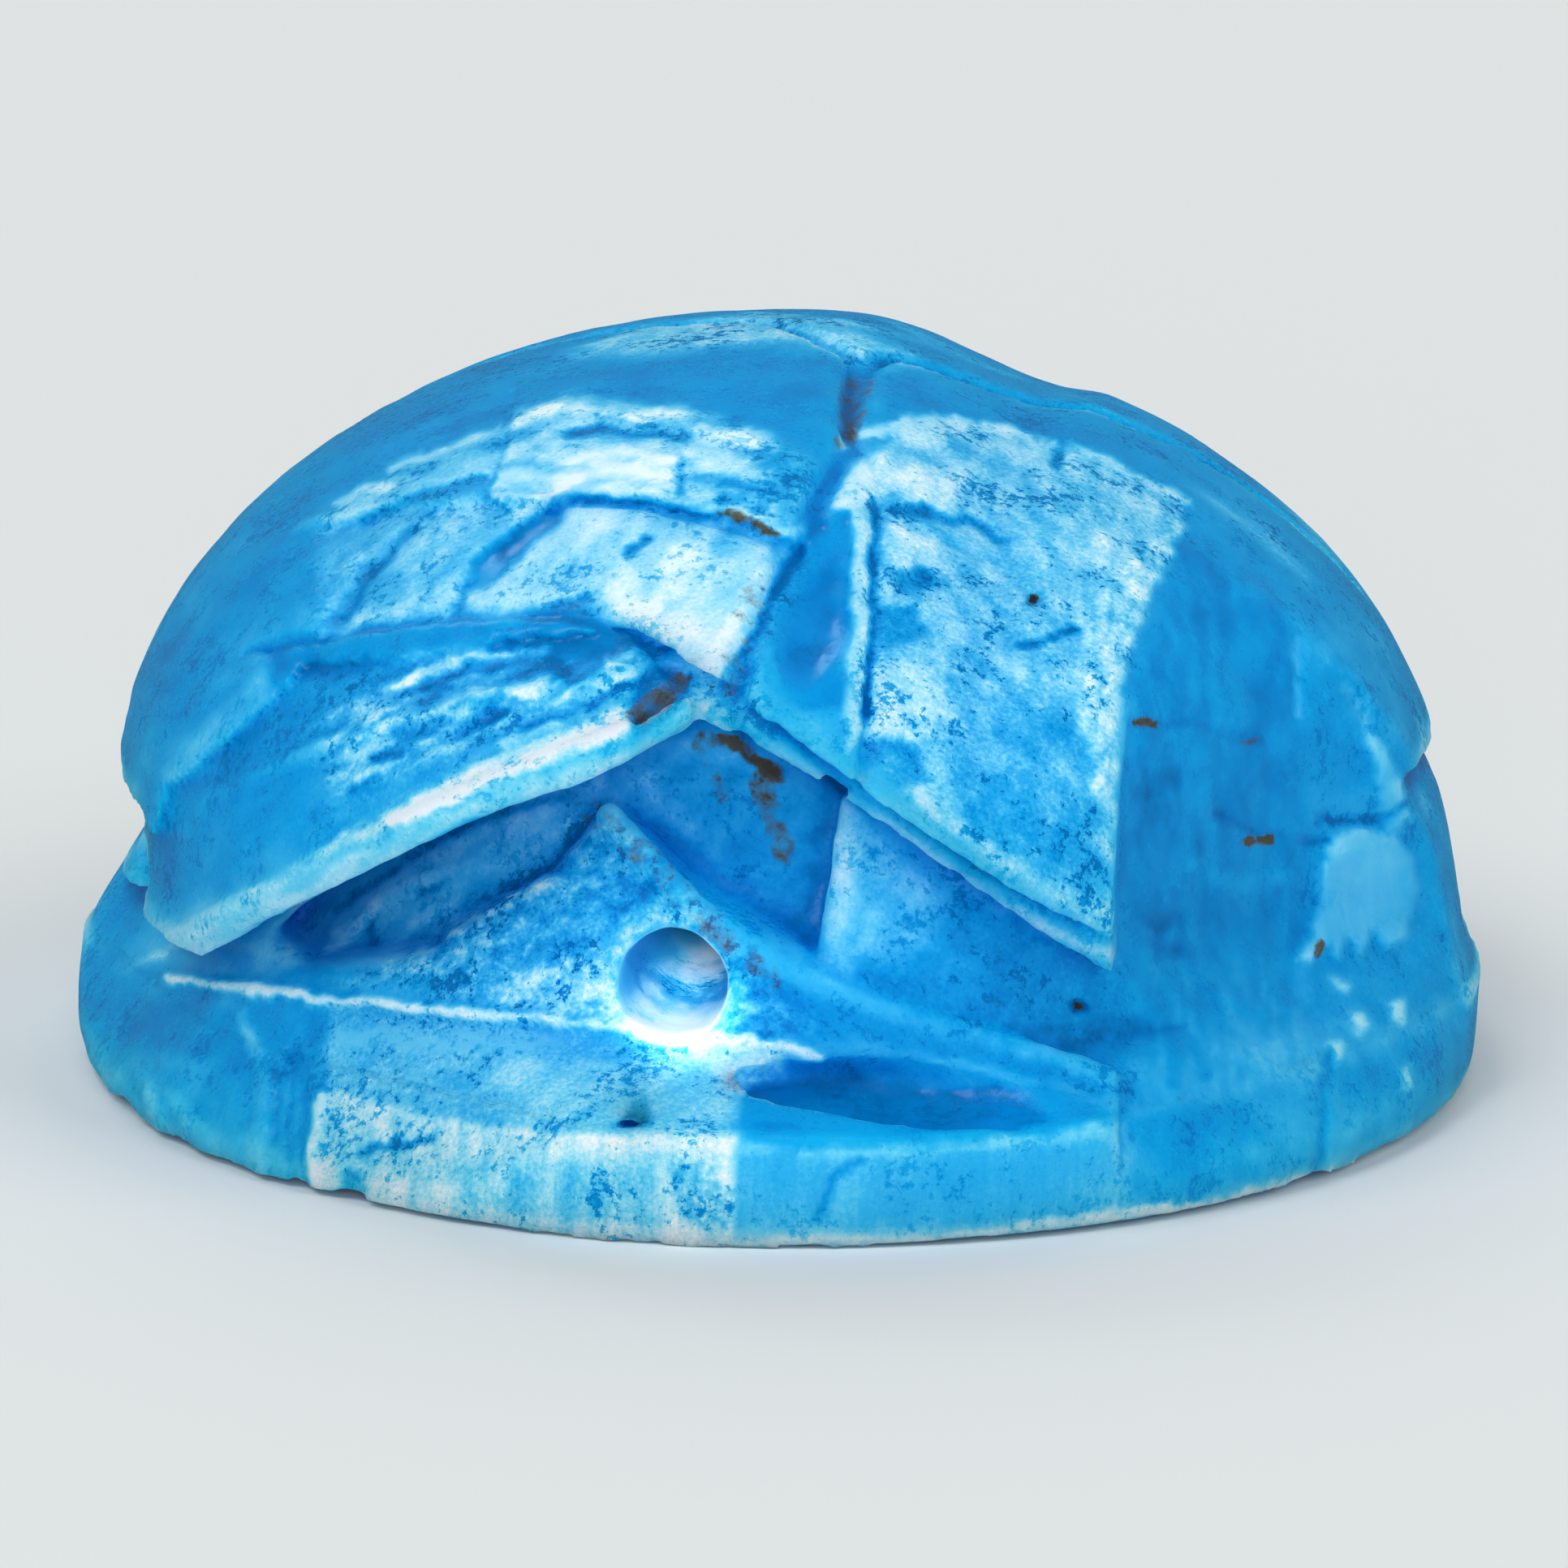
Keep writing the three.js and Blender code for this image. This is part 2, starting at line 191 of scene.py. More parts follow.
def rod(places, radius, x, y, z):
    """A round rod along a curve. Its radius may change from one end to the other."""
    best = np.full(np.broadcast(x, y, z).shape, 1e9, np.float32)
    radii = np.interp(np.linspace(0, 1, len(places)), np.linspace(0, 1, len(radius)), radius)
    for a, b, r in zip(places, places[1:], radii):
        ab = b - a
        share = ((x - a[0]) * ab[0] + (y - a[1]) * ab[1] + (z - a[2]) * ab[2]) / (ab @ ab)
        share = np.clip(share, 0, 1)
        gap = (x - a[0] - share * ab[0]) ** 2 + (y - a[1] - share * ab[1]) ** 2
        gap = gap + (z - a[2] - share * ab[2]) ** 2
        best = np.minimum(best, np.sqrt(gap) - r)
    return best


# The plinth: an upright wall all round, worn at the two sides of its lower edge.
HALF_WIDTH, HALF_LENGTH = 6.5, 8.75
PLINTH_HEIGHT = 1.0
WEAR_DEPTH, WEAR_HEIGHT = 0.13, 0.45
wear = WEAR_DEPTH * np.clip(1 - Z / WEAR_HEIGHT, 0, 1) ** 2 * np.abs(X / HALF_WIDTH)
plinth = oval_body([(1.0, 0.0), (1.0, PLINTH_HEIGHT)], HALF_WIDTH, HALF_LENGTH, X, Y, Z) + wear

# Under the back the carving has three depths: the legs, the body between them, and the hollows.
LEGS = [(0.995, 1.0), (0.885, 2.75), (0.81, 4.4), (0.7, 5.1)]
BODY = [(0.995, 1.0), (0.875, 1.5), (0.82, 2.75), (0.76, 4.3), (0.68, 4.9)]
HOLLOW = [(0.9, 1.0), (0.78, 1.6), (0.73, 2.75), (0.69, 4.3), (0.6, 4.9)]
BETWEEN_LEGS = [
    (-4.7, 1.0), (-5.1, 1.5), (-4.3, 2.05), (-2.85, 3.0), (-0.9, 4.0), (-0.2, 4.4),
    (0.6, 4.05), (1.15, 3.75), (2.6, 2.8), (3.6, 2.1), (4.2, 1.7), (4.2, 1.0),
]
LEFT_HOLLOW = [
    (-4.2, 1.8), (-2.85, 3.25), (-0.9, 4.25), (0.2, 4.45), (0.75, 4.15), (1.05, 3.75),
    (0.9, 2.35), (-0.1, 2.75), (-0.55, 3.15), (-1.0, 3.5), (-1.7, 2.75), (-2.6, 2.05), (-3.85, 1.65),
]
SIDE_GAPS = [
    [(0.4, 1.4), (1.6, 2.4), (2.9, 2.4), (2.2, 1.4)],
    [(3.6, 1.4), (4.4, 2.4), (5.6, 2.4), (6.0, 1.4)],
]
LEFT_SIDE_GAP = [(-3.6, 1.4), (-1.6, 2.4), (-0.4, 2.4), (-2.2, 1.4)]


def carved(profile):
    """The mass under the back at one of its depths."""
    lowered = Z + sag(X) * smoothstep(Z, 2.6, 3.2)
    return oval_body(profile, HALF_WIDTH, HALF_LENGTH, X - lean(Z), Y, lowered)


legs = cut(carved(LEGS), through_tail(BETWEEN_LEGS), 0.05)
for gap in SIDE_GAPS:
    legs = cut(legs, through_side(gap, 1), 0.12)
for gap in [*SIDE_GAPS, LEFT_SIDE_GAP]:
    legs = cut(legs, through_side(gap, -1), 0.12)
body = cut(carved(BODY), through_tail(LEFT_HOLLOW), 0.2)
hollow = carved(HOLLOW)

# The back: an oval dome that overhangs the legs, open below the wing cases at the tail.
UNDER_WINGS = [
    (-5.5, 2.0), (-5.3, 3.0), (-3.9, 4.35), (-2.0, 4.85), (-0.9, 5.0), (-0.2, 4.75),
    (0.3, 4.5), (0.75, 4.2), (1.2, 3.95), (2.6, 3.05), (3.7, 2.4), (4.4, 2.0),
]
# The rim is broken at the right and at the left.
BROKEN_RIM = [(4.9, 2.3), (7.0, 2.3), (7.0, 3.3), (5.8, 3.1)]
LEFT_RIM = [(-7.0, 2.3), (-5.5, 2.3), (-5.6, 2.63), (-7.0, 2.63)]
BACK_HALF_WIDTH, BACK_HALF_LENGTH = 6.12, 8.25
BACK_LOW, BACK_TOP = 2.65, 6.8
BACK_FULLNESS = 1.9
RIM_HEIGHT = 2.5


def back_height(x, y):
    """How high the back is above a place on the table."""
    share = min(1, np.hypot(x / BACK_HALF_WIDTH, y / BACK_HALF_LENGTH))
    return BACK_LOW + (BACK_TOP - BACK_LOW) * (1 - share**2) ** (1 / BACK_FULLNESS) - float(sag(x))


raised = Z + sag(X) * np.clip((Z - RIM_HEIGHT) / 0.6, 0, 1)
rise = np.clip((raised - BACK_LOW) / (BACK_TOP - BACK_LOW), 0, None)
level = np.hypot((X + 0.04) / BACK_HALF_WIDTH, Y / BACK_HALF_LENGTH) ** 2 + rise**BACK_FULLNESS - 1
steep = 2 * np.hypot(X / BACK_HALF_WIDTH**2, Y / BACK_HALF_LENGTH**2)
climb = BACK_FULLNESS * rise**(BACK_FULLNESS - 1) / (BACK_TOP - BACK_LOW)
back_skin = level / np.maximum(np.hypot(steep, climb), 0.2)
dome = np.maximum(back_skin, RIM_HEIGHT - Z)
for outline, front in [(UNDER_WINGS, -1), (BROKEN_RIM, 2.5), (LEFT_RIM, 2.5)]:
    dome = cut(dome, through_tail(outline, front), 0.06)

# The left hind leg lies flush with the back, except at the side, where the back overhangs it.
LEFT_LEG = [
    (-5.45, 1.3), (-5.65, 2.4), (-5.5, 3.1), (-4.9, 3.8), (-3.9, 4.5), (-2.0, 4.95), (-0.9, 5.05),
    (-0.3, 4.65), (-0.9, 4.1), (-2.85, 3.1), (-4.4, 2.05), (-5.2, 1.4),
]
LEFT_LEG_INSET = 0.1
left_leg = np.maximum(back_skin + LEFT_LEG_INSET, through_tail(LEFT_LEG))
left_leg = np.maximum(left_leg, 0.9 - Z)

stone = plinth
for mass, fillet in [(legs, 0.05), (left_leg, 0.15), (body, 0.1), (hollow, 0.12), (dome, 0.06)]:
    stone = join(stone, mass, fillet)


def on_profile(profile):
    """Puts places drawn in X and Z on one of the carving's depths at the tail."""
    shares, heights = zip(*profile)

    def place(x, z):
        share = np.interp(z, heights, shares)
        return x, -HALF_LENGTH * (share**2 - ((x - lean(z)) / HALF_WIDTH) ** 2) ** 0.5, z
    return place


def on_left_leg(x, z):
    """Puts a place drawn in X and Z on the left hind leg."""
    share = 1 - max(0, (z - BACK_LOW) / (BACK_TOP - BACK_LOW)) ** BACK_FULLNESS
    half_width, half_length = BACK_HALF_WIDTH - LEFT_LEG_INSET, BACK_HALF_LENGTH - LEFT_LEG_INSET
    return x, -half_length * max(0, share - (x / half_width) ** 2) ** 0.5, z


# Bars raised at the tail: the shin and the thigh of the left hind leg, the right hind leg,
# and the rough edge that runs from the body down to the right foot. Each row gives what the bar
# lies on, its radius at both ends, and its course in X and Z.
TAIL_RIDGES = [
    (on_left_leg, (0.12, 0.17), [
        (-5.1, 1.6), (-4.3, 2.3), (-2.85, 3.25), (-1.7, 3.85), (-0.9, 4.2), (-0.4, 4.5),
    ]),
    (on_left_leg, (0.04, 0.07), [(-4.9, 2.9), (-3.9, 3.65), (-2.3, 4.35), (-0.9, 4.75)]),
    (on_profile(LEGS), (0.02, 0.03), [(0.6, 4.15), (1.15, 3.85), (2.6, 2.9), (3.6, 2.3)]),
    (on_profile(BODY), (0.1, 0.12), [(-1.0, 3.45), (-0.1, 2.65), (0.95, 2.1), (2.4, 1.6), (3.5, 1.25)]),
]
for place, radius, points in TAIL_RIDGES:
    route = curve([place(x, z) for x, z in points], 0.15)
    window, x, y, z = near(route, 0.5)
    stone[window] = join(stone[window], rod(route, radius, x, y, z), 0.16)

# Grooves over the back: the radius at both ends, and the course in X and Y, seen from above.
BACK_GROOVES = [
    # The front edges of the wing cases, which meet in a point behind.
    ((0.07, 0.13), [(-5.6, 1.6), (-4.0, 1.2), (-2.2, 0.9), (-0.6, 0.6), (0.2, -0.3), (0.7, -1.1)]),
    ((0.13, 0.07), [(0.7, -1.1), (1.0, -0.4), (2.2, 0.1), (3.8, 0.6), (5.6, 1.0)]),
    # The seam between the wing cases, which bends to the left, and the line that goes straight on.
    ((0.11, 0.11), [(0.7, -1.1), (0.72, -2.4), (0.78, -3.4), (0.62, -4.6), (0.45, -5.4)]),
    ((0.05, 0.05), [(0.8, -3.2), (1.1, -3.9), (1.18, -4.8), (1.25, -6.2), (1.3, -7.5)]),
    # The line across the wing cases near the tail, on the left and on the right of the seam.
    ((0.04, 0.08), [(-2.4, -4.0), (-1.7, -4.4), (-0.9, -4.8), (-0.1, -5.1), (0.45, -5.35)]),
    ((0.06, 0.03), [(1.25, -4.5), (1.9, -4.4), (2.35, -4.5)]),
    # The line that curls down from it to the tip of the tail, and the lower edge of the left wing case.
    ((0.11, 0.14), [(0.45, -5.4), (0.3, -6.2), (0.18, -6.8), (0.15, -7.2), (0.55, -7.6)]),
    ((0.03, 0.06), [(-4.6, -4.2), (-3.8, -5.0), (-2.6, -5.7), (-1.4, -6.2), (-0.6, -6.7)]),
    # The front edge of the thorax.
    ((0.1, 0.1), [(-4.4, 4.4), (-2.6, 5.3), (0, 5.7), (2.6, 5.3), (4.4, 4.4)]),
]
for radius, points in BACK_GROOVES:
    route = curve([(x, y, back_height(x, y)) for x, y in points], 0.15)
    window, x, y, z = near(route, 0.4)
    stone[window] = cut(stone[window], rod(route, radius, x, y, z), 0.08)

# The head: lower than the back, and set off by notches in its front rim.
HEAD_EDGE = 5.65
HEAD_TOP_AT, HEAD_TOP, HEAD_FALL = 5.7, 4.95, 0.48
head_room = np.maximum(HEAD_EDGE - Y, HEAD_TOP - HEAD_FALL * (Y - HEAD_TOP_AT) - Z)
stone = cut(stone, head_room, 0.1)
# Where each notch is at the right, how far forward, and its radius. The left side has the same.
HEAD_NOTCHES = [(3.7, 6.6, 0.32), (2.0, 8.07, 0.22), (0.7, 8.23, 0.22)]
for x0, y0, radius in HEAD_NOTCHES:
    notch = np.maximum(np.hypot(np.abs(X) - x0, Y - y0) - radius, np.abs(Z - 3.2) - 1.5)
    stone = cut(stone, notch, 0.06)

# Losses: the large flake off the right flank reaches in from the tail, under a shell-shaped edge.
# Its wall leans in over the back, and lower down it runs out to the face of the plinth.
FLAKE_EDGE = [(3.55, -5.75), (4.05, -4.66), (4.65, -3.4), (5.35, -2.15), (6.15, -0.9)]
FLAKE_OUTLINE = [(2.05, -9.02), *FLAKE_EDGE, (9, -0.9), (9, -9.5)]
FLAKE_LEFT, FLAKE_FOOT, FLAKE_TOP = 3.5, 0.2, 5.62
WALL_LEANS_FROM, WALL_RUNS_OUT_FROM = 3.4, 2.3
over = np.maximum(0, Z - WALL_LEANS_FROM)
flake_wall = outline_distance(FLAKE_OUTLINE, X - 0.04 * over, Y - 0.6 * over**2.2)
outward = smoothstep(WALL_RUNS_OUT_FROM - Z, 0, 2.05)
plinth_face = (np.hypot(X / HALF_WIDTH, Y / HALF_LENGTH) - 1) * HALF_WIDTH
flake = (1 - outward) * flake_wall - outward * plinth_face
flake_side = FLAKE_LEFT + 0.12 * np.maximum(0, 2 - Z) - X
flake = np.maximum(flake, np.maximum(flake_side, np.maximum(FLAKE_FOOT - Z, Z - FLAKE_TOP)))
stone = cut(stone, flake, 0.05)
# Shell-shaped chips: beside the seam, in the ledge at the tail, and two in the plinth's lower edge.
# Each has its middle, its half sizes, its turn about the X axis, and the wear of its edge.
CHIPS = [
    ((0.72, -6.0, 5.48), (0.4, 1.35, 0.32), 0.52, 0.05),
    ((2.0, -7.75, 1.28), (1.85, 0.6, 0.3), 0.0, 0.05),
    ((6.5, -2.2, 0.0), (0.22, 0.8, 0.2), 0.0, 0.08),
    ((-5.9, -4.3, 0.0), (0.6, 0.5, 0.2), 0.0, 0.08),
]
for middle_of_chip, half_sizes, tilt, edge_wear in CHIPS:
    stone = cut(stone, bowl(middle_of_chip, half_sizes, tilt), edge_wear)
# Flat facets broken off the plinth's left corner: the way each faces and how far out it stands.
PLINTH_FACETS = [(-0.93, -0.37, 6.85), (-0.8, -0.6, 7.38), (-0.64, -0.77, 7.78)]
for facing_x, facing_y, reach in PLINTH_FACETS:
    facet = facing_x * X + facing_y * Y - reach + 0.75 * (Z - 0.25)
    stone = cut(stone, np.maximum(-facet / 1.25, Z - 1.6), 0.08)

# The threading hole, bored from both ends.
HOLE_X, HOLE_Z, HOLE_RADIUS = -0.35, 2.05, 0.49
stone = cut(stone, np.hypot(X - HOLE_X, Z - HOLE_Z) - HOLE_RADIUS + 0 * Y, 0.08)

# What the tail shows is drawn as seen in the picture, in its pixels, on a map of the view. A pixel
# is about 0.0075 mm.
MAP_STEP = 4
MAP_LEFT, MAP_TOP, MAP_RIGHT, MAP_BOTTOM = 60, 380, 1860, 1560
map_y, map_x = np.meshgrid(
    np.arange(MAP_TOP, MAP_BOTTOM, MAP_STEP, dtype=float),
    np.arange(MAP_LEFT, MAP_RIGHT, MAP_STEP, dtype=float), indexing="ij")


def grain(x, y, seed, octaves=1):
    """Soft noise between -1 and 1, with one cell for each whole step of x and y."""
    flat = zip(np.ravel(x).tolist(), np.ravel(y).tolist())
    if octaves == 1:
        values = [noise.noise((a, b, seed)) for a, b in flat]
    else:
        values = [noise.fractal((a, b, seed), 0.8, 2.1, octaves) for a, b in flat]
    return np.array(values).reshape(np.shape(x))


# Nothing drawn on the map is quite straight.
SLOW_WOBBLE, QUICK_WOBBLE = 7, 5
wobble_x = map_x + SLOW_WOBBLE * grain(map_x / 40, map_y / 40, 3.7)
wobble_x = wobble_x + QUICK_WOBBLE * grain(map_x / 13, map_y / 13, 9.1)
wobble_y = map_y + SLOW_WOBBLE * grain(map_x / 40, map_y / 40, 5.3)
wobble_y = wobble_y + QUICK_WOBBLE * grain(map_x / 13, map_y / 13, 2.9)


def area(outline, softness):
    """1 inside an outline and 0 outside it, with an edge as soft as the softness."""
    return smoothstep(-outline_distance(outline, wobble_x, wobble_y), -softness / 2, softness / 2)


def stroke(points, width, softness):
    """1 along a line and 0 away from it."""
    best = np.full(map_x.shape, 1e9)
    for a, b in zip(np.array(points, float), np.array(points[1:], float)):
        ab = b - a
        along = np.clip(((wobble_x - a[0]) * ab[0] + (wobble_y - a[1]) * ab[1]) / (ab @ ab), 0, 1)
        off_x, off_y = wobble_x - a[0] - along * ab[0], wobble_y - a[1] - along * ab[1]
        best = np.minimum(best, np.hypot(off_x, off_y))
    return 1 - smoothstep(best, width / 2, width / 2 + softness)


def lay(values, amount, share):
    """A map with an amount laid over it where the share is 1, and left as it is where it is 0."""
    return values * (1 - share) + amount * share


def in_picture(x, y, z):
    """Where a place in millimetres shows in the picture, in its pixels."""
    x, y, z = x - TARGET.x * 1000, y - TARGET.y * 1000, z - TARGET.z * 1000
    right = x * right_axis.x + y * right_axis.y + z * right_axis.z
    up = x * up_axis.x + y * up_axis.y + z * up_axis.z
    nearer = x * back_axis.x + y * back_axis.y + z * back_axis.z
    scale = PIXELS_PER_METRE / 1000 / (1 - nearer / 1000 / VIEW_DISTANCE)
    return TARGET_IN_PICTURE[0] + right * scale, TARGET_IN_PICTURE[1] - up * scale


def on_map(values, picture_x, picture_y):
    """A map's value at places in the picture."""
    column = np.clip((picture_x - MAP_LEFT) / MAP_STEP, 0, values.shape[1] - 1.001)
    row = np.clip((picture_y - MAP_TOP) / MAP_STEP, 0, values.shape[0] - 1.001)
    c, r = column.astype(int), row.astype(int)
    s, t = column - c, row - r
    upper = values[r, c] * (1 - s) + values[r, c + 1] * s
    lower = values[r + 1, c] * (1 - s) + values[r + 1, c + 1] * s
    return upper * (1 - t) + lower * t


# Where the parts of the tail show in the picture, in its pixels.
THORAX = [
    (560, 500), (700, 440), (860, 405), (1010, 395), (1130, 420), (1280, 475), (1440, 560), (1560, 680),
    (1462, 612), (1340, 552), (1190, 512), (1110, 514), (1040, 540), (890, 508), (700, 484), (560, 560),
    (400, 640), (300, 760), (240, 800), (360, 640),
]
WING_BAND = [
    (365, 655), (440, 604), (597, 532), (632, 508), (700, 488), (770, 490), (890, 512), (1000, 556),
    (985, 680), (960, 665), (890, 637), (800, 618), (700, 610), (600, 617), (480, 628), (400, 645),
]
BAND_MIDDLE = [
    (619, 540), (632, 508), (700, 488), (890, 512), (960, 545), (960, 655), (890, 630), (700, 610),
    (597, 612),
]
BAND_BRIGHT = [(681, 568), (740, 553), (830, 562), (836, 606), (760, 610), (681, 606)]
BAND_LEFT_BRIGHT = [(597, 578), (681, 572), (681, 606), (600, 612)]
WING_PANEL = [
    (400, 645), (480, 628), (600, 617), (700, 610), (800, 618), (890, 637), (985, 680), (955, 735),
    (925, 795), (900, 850), (870, 880), (800, 810), (740, 772), (716, 746), (684, 746), (559, 762),
    (450, 775), (395, 795),
]
PANEL_BRIGHT = [
    (711, 621), (800, 640), (930, 700), (915, 780), (880, 840), (800, 790), (745, 740), (700, 690),
]
PANEL_LOW_BRIGHT = [(586, 740), (600, 712), (690, 660), (712, 730), (684, 742), (600, 757)]
PANEL_FACET = [
    (572, 728), (585, 690), (610, 668), (650, 640), (690, 612), (692, 640), (660, 670), (625, 700),
    (596, 726),
]
PANEL_LEFT_FACET = [(398, 768), (440, 700), (500, 655), (455, 720), (425, 772)]
# A shallow crevice under the panel, where a painted shadow darkens the stone.
UNDER_PANEL_SHADOW = [
    (330, 800), (390, 790), (450, 778), (560, 764), (700, 750), (745, 772), (830, 800), (760, 815),
    (640, 800), (520, 806), (400, 830), (330, 850),
]
LEG_BAND = [
    (380, 890), (430, 838), (520, 812), (640, 803), (700, 815), (790, 812), (775, 860),
    (600, 915), (500, 965), (430, 1000), (400, 960),
]
LEG_PIT = [(776, 860), (790, 830), (808, 816), (857, 833), (841, 870), (800, 905), (781, 909)]
LEG_CHAMFER = [
    (160, 1190), (300, 1105), (500, 980), (640, 915), (775, 868), (775, 905), (640, 955), (530, 1003),
    (360, 1080), (200, 1180),
]
# The pale frosted bevel at the leg's lower edge, painted nearly white as a painted highlight as well.
CHAMFER_FROST_AND_HIGHLIGHT = [
    (470, 1005), (560, 955), (680, 905), (780, 872), (778, 895), (690, 930), (560, 985),
    (480, 1020),
]
# The left hollow is painted paler than its shade, as painted light for the glow through the stone; its
# right part, which the front light reaches, is painted darker.
LEFT_HOLLOW_SEEN = [
    (345, 1190), (330, 1120), (420, 1060), (520, 1010), (640, 965), (770, 925), (850, 905), (960, 940),
    (1020, 1000), (1010, 1100), (1000, 1190), (940, 1150), (870, 1050), (790, 1000), (725, 985),
    (700, 1050), (640, 1090), (600, 1150), (590, 1200),
]
HOLLOW_RIGHT = [(800, 930), (960, 940), (1020, 1000), (1010, 1190), (930, 1130), (850, 1030)]
HOLLOW_LEFT_END = [
    (160, 1185), (200, 1140), (260, 1100), (330, 1085), (370, 1120), (350, 1180), (330, 1205),
]
BORE_MOUND = [
    (700, 990), (740, 1000), (800, 1050), (870, 1120), (940, 1200), (1000, 1260), (960, 1290),
    (800, 1270), (640, 1250), (500, 1215), (420, 1212), (500, 1180), (560, 1120), (620, 1090),
    (680, 1060),
]
MOUND_BRIGHT = [
    (600, 1215), (680, 1190), (750, 1175), (762, 1220), (780, 1262), (700, 1250), (620, 1240),
]
TENT_RIDGE = [
    (690, 985), (730, 985), (850, 1075), (960, 1190), (1000, 1250), (960, 1262), (870, 1180),
    (780, 1060),
]
LEDGE = [
    (400, 1232), (620, 1252), (800, 1275), (960, 1292), (960, 1330), (905, 1352), (905, 1404),
    (760, 1402), (620, 1392), (500, 1370), (400, 1340),
]
LEDGE_SMOOTH = [(410, 1262), (560, 1268), (700, 1275), (690, 1296), (560, 1294), (412, 1290)]
LEDGE_UNDER_BORE = [
    (779, 1262), (860, 1262), (960, 1290), (970, 1325), (900, 1345), (860, 1300), (790, 1280),
]
LEDGE_DARK = [(751, 1388), (775, 1360), (800, 1342), (800, 1388)]
LEDGE_LENS = [
    (910, 1350), (960, 1330), (1040, 1325), (1150, 1345), (1290, 1335), (1385, 1375), (1290, 1400),
    (1150, 1408), (1000, 1412), (915, 1405),
]
PLINTH_FROSTED = [
    (398, 1342), (500, 1372), (620, 1393), (760, 1403), (903, 1406), (903, 1545), (760, 1540),
    (560, 1522), (388, 1490),
]
PLINTH_TOP_BRIGHT = [
    (398, 1342), (500, 1372), (620, 1393), (760, 1403), (903, 1406), (900, 1450), (620, 1430),
    (430, 1420),
]
PLINTH_RIPPLED = [(820, 1412), (903, 1406), (903, 1545), (850, 1520), (812, 1470)]
PLINTH_CHIP = [(405, 1478), (425, 1440), (452, 1452), (448, 1474)]
PLINTH_RIGHT = [
    (910, 1408), (1000, 1415), (1150, 1412), (1390, 1385), (1400, 1520), (1150, 1545), (910, 1550),
]
LEFT_OF_LEDGE = [(130, 1235), (240, 1225), (400, 1245), (390, 1340), (300, 1320), (180, 1290)]
RIGHT_WING = [
    (1060, 600), (1110, 520), (1190, 515), (1340, 555), (1462, 615), (1435, 660), (1400, 760),
    (1380, 880), (1370, 1000), (1365, 1150), (1300, 1110), (1240, 1070), (1130, 990), (1060, 930),
    (1055, 760),
]
RIGHT_WING_WHITE = [
    [(1020, 625), (1045, 575), (1095, 552), (1100, 600), (1060, 630)],
    [(1104, 524), (1160, 520), (1165, 545), (1110, 550)],
    [(1098, 580), (1150, 568), (1190, 590), (1180, 628), (1110, 618)],
    [(1088, 650), (1110, 640), (1155, 660), (1150, 705), (1100, 700)],
    [(1070, 830), (1110, 805), (1160, 820), (1168, 880), (1130, 908), (1066, 905)],
    [(1340, 680), (1352, 655), (1370, 664), (1366, 700), (1345, 704)],
]
RIGHT_WING_BLUE = [
    [(1098, 705), (1140, 700), (1148, 725), (1110, 735)],
    [(1078, 750), (1130, 745), (1142, 785), (1085, 800)],
    [(1060, 915), (1090, 905), (1130, 920), (1142, 955), (1110, 975), (1060, 965)],
]
WING_SLOT = [
    (1092, 625), (1130, 622), (1168, 628), (1210, 644), (1247, 668), (1225, 666), (1190, 648),
    (1150, 640), (1095, 638),
]
FLAKE_RIM = [
    (1445, 640), (1462, 650), (1430, 715), (1400, 790), (1372, 860), (1370, 980), (1345, 980),
    (1330, 870), (1328, 785), (1375, 700),
]
FLAKE_INSIDE = [
    (1455, 665), (1440, 740), (1405, 830), (1385, 950), (1380, 1080), (1400, 1200), (1405, 1360),
    (1560, 1350), (1640, 1250), (1600, 1130), (1610, 1000), (1598, 880), (1598, 790), (1560, 720),
    (1500, 690),
]
FLAKE_LOW = [(1405, 1190), (1600, 1150), (1700, 1250), (1640, 1350), (1500, 1380), (1405, 1360)]
RIGHT_WING_LOW = [(1180, 900), (1330, 860), (1365, 1000), (1365, 1150), (1240, 1070), (1170, 1010)]
LEG_LOW = [(180, 1010), (260, 950), (340, 930), (380, 980), (300, 1070), (220, 1110), (170, 1090)]
FLAKE_SMUDGES = [
    [(1415, 950), (1450, 946), (1456, 966), (1420, 970)],
    [(1400, 972), (1430, 972), (1432, 981), (1402, 981)],
    [(1412, 1130), (1452, 1122), (1458, 1140), (1420, 1150)],
    [(1420, 1160), (1460, 1156), (1462, 1176), (1425, 1180)],
]
TONGUE = [
    (1640, 1030), (1685, 1015), (1720, 1025), (1745, 1055), (1751, 1085), (1745, 1110),
    (1730, 1155), (1705, 1170), (1690, 1150), (1676, 1180), (1662, 1150), (1650, 1184),
    (1640, 1160), (1615, 1185), (1595, 1183), (1618, 1150), (1627, 1110), (1628, 1060),
]
TONGUE_LOBES = [
    (1680, 900), (1700, 910), (1720, 950), (1735, 980), (1735, 1022), (1715, 1022), (1700, 998),
    (1692, 955),
]
# Painted glints on the glassy break at the lower right, and one pale chip among them.
TONGUE_PAINTED_GLINTS_AND_CHIP = [
    [(1665, 1250), (1678, 1244), (1686, 1262), (1672, 1272)],
    [(1636, 1280), (1656, 1282), (1652, 1302), (1636, 1298)],
    [(1712, 1236), (1732, 1230), (1728, 1262), (1716, 1258)],
    [(1728, 1316), (1742, 1310), (1740, 1345), (1730, 1345)],
    [(1640, 1206), (1664, 1206), (1660, 1222), (1642, 1220)],
]
RIGHT_BODY = [
    (1022, 1010), (1060, 1010), (1140, 1060), (1240, 1110), (1375, 1180), (1395, 1240), (1400, 1365),
    (1300, 1330), (1180, 1270), (1080, 1220), (1010, 1190),
]
RIGHT_BODY_BRIGHT = [
    (1035, 1000), (1090, 1015), (1170, 1090), (1150, 1150), (1090, 1190), (1010, 1200),
    (1020, 1100),
]
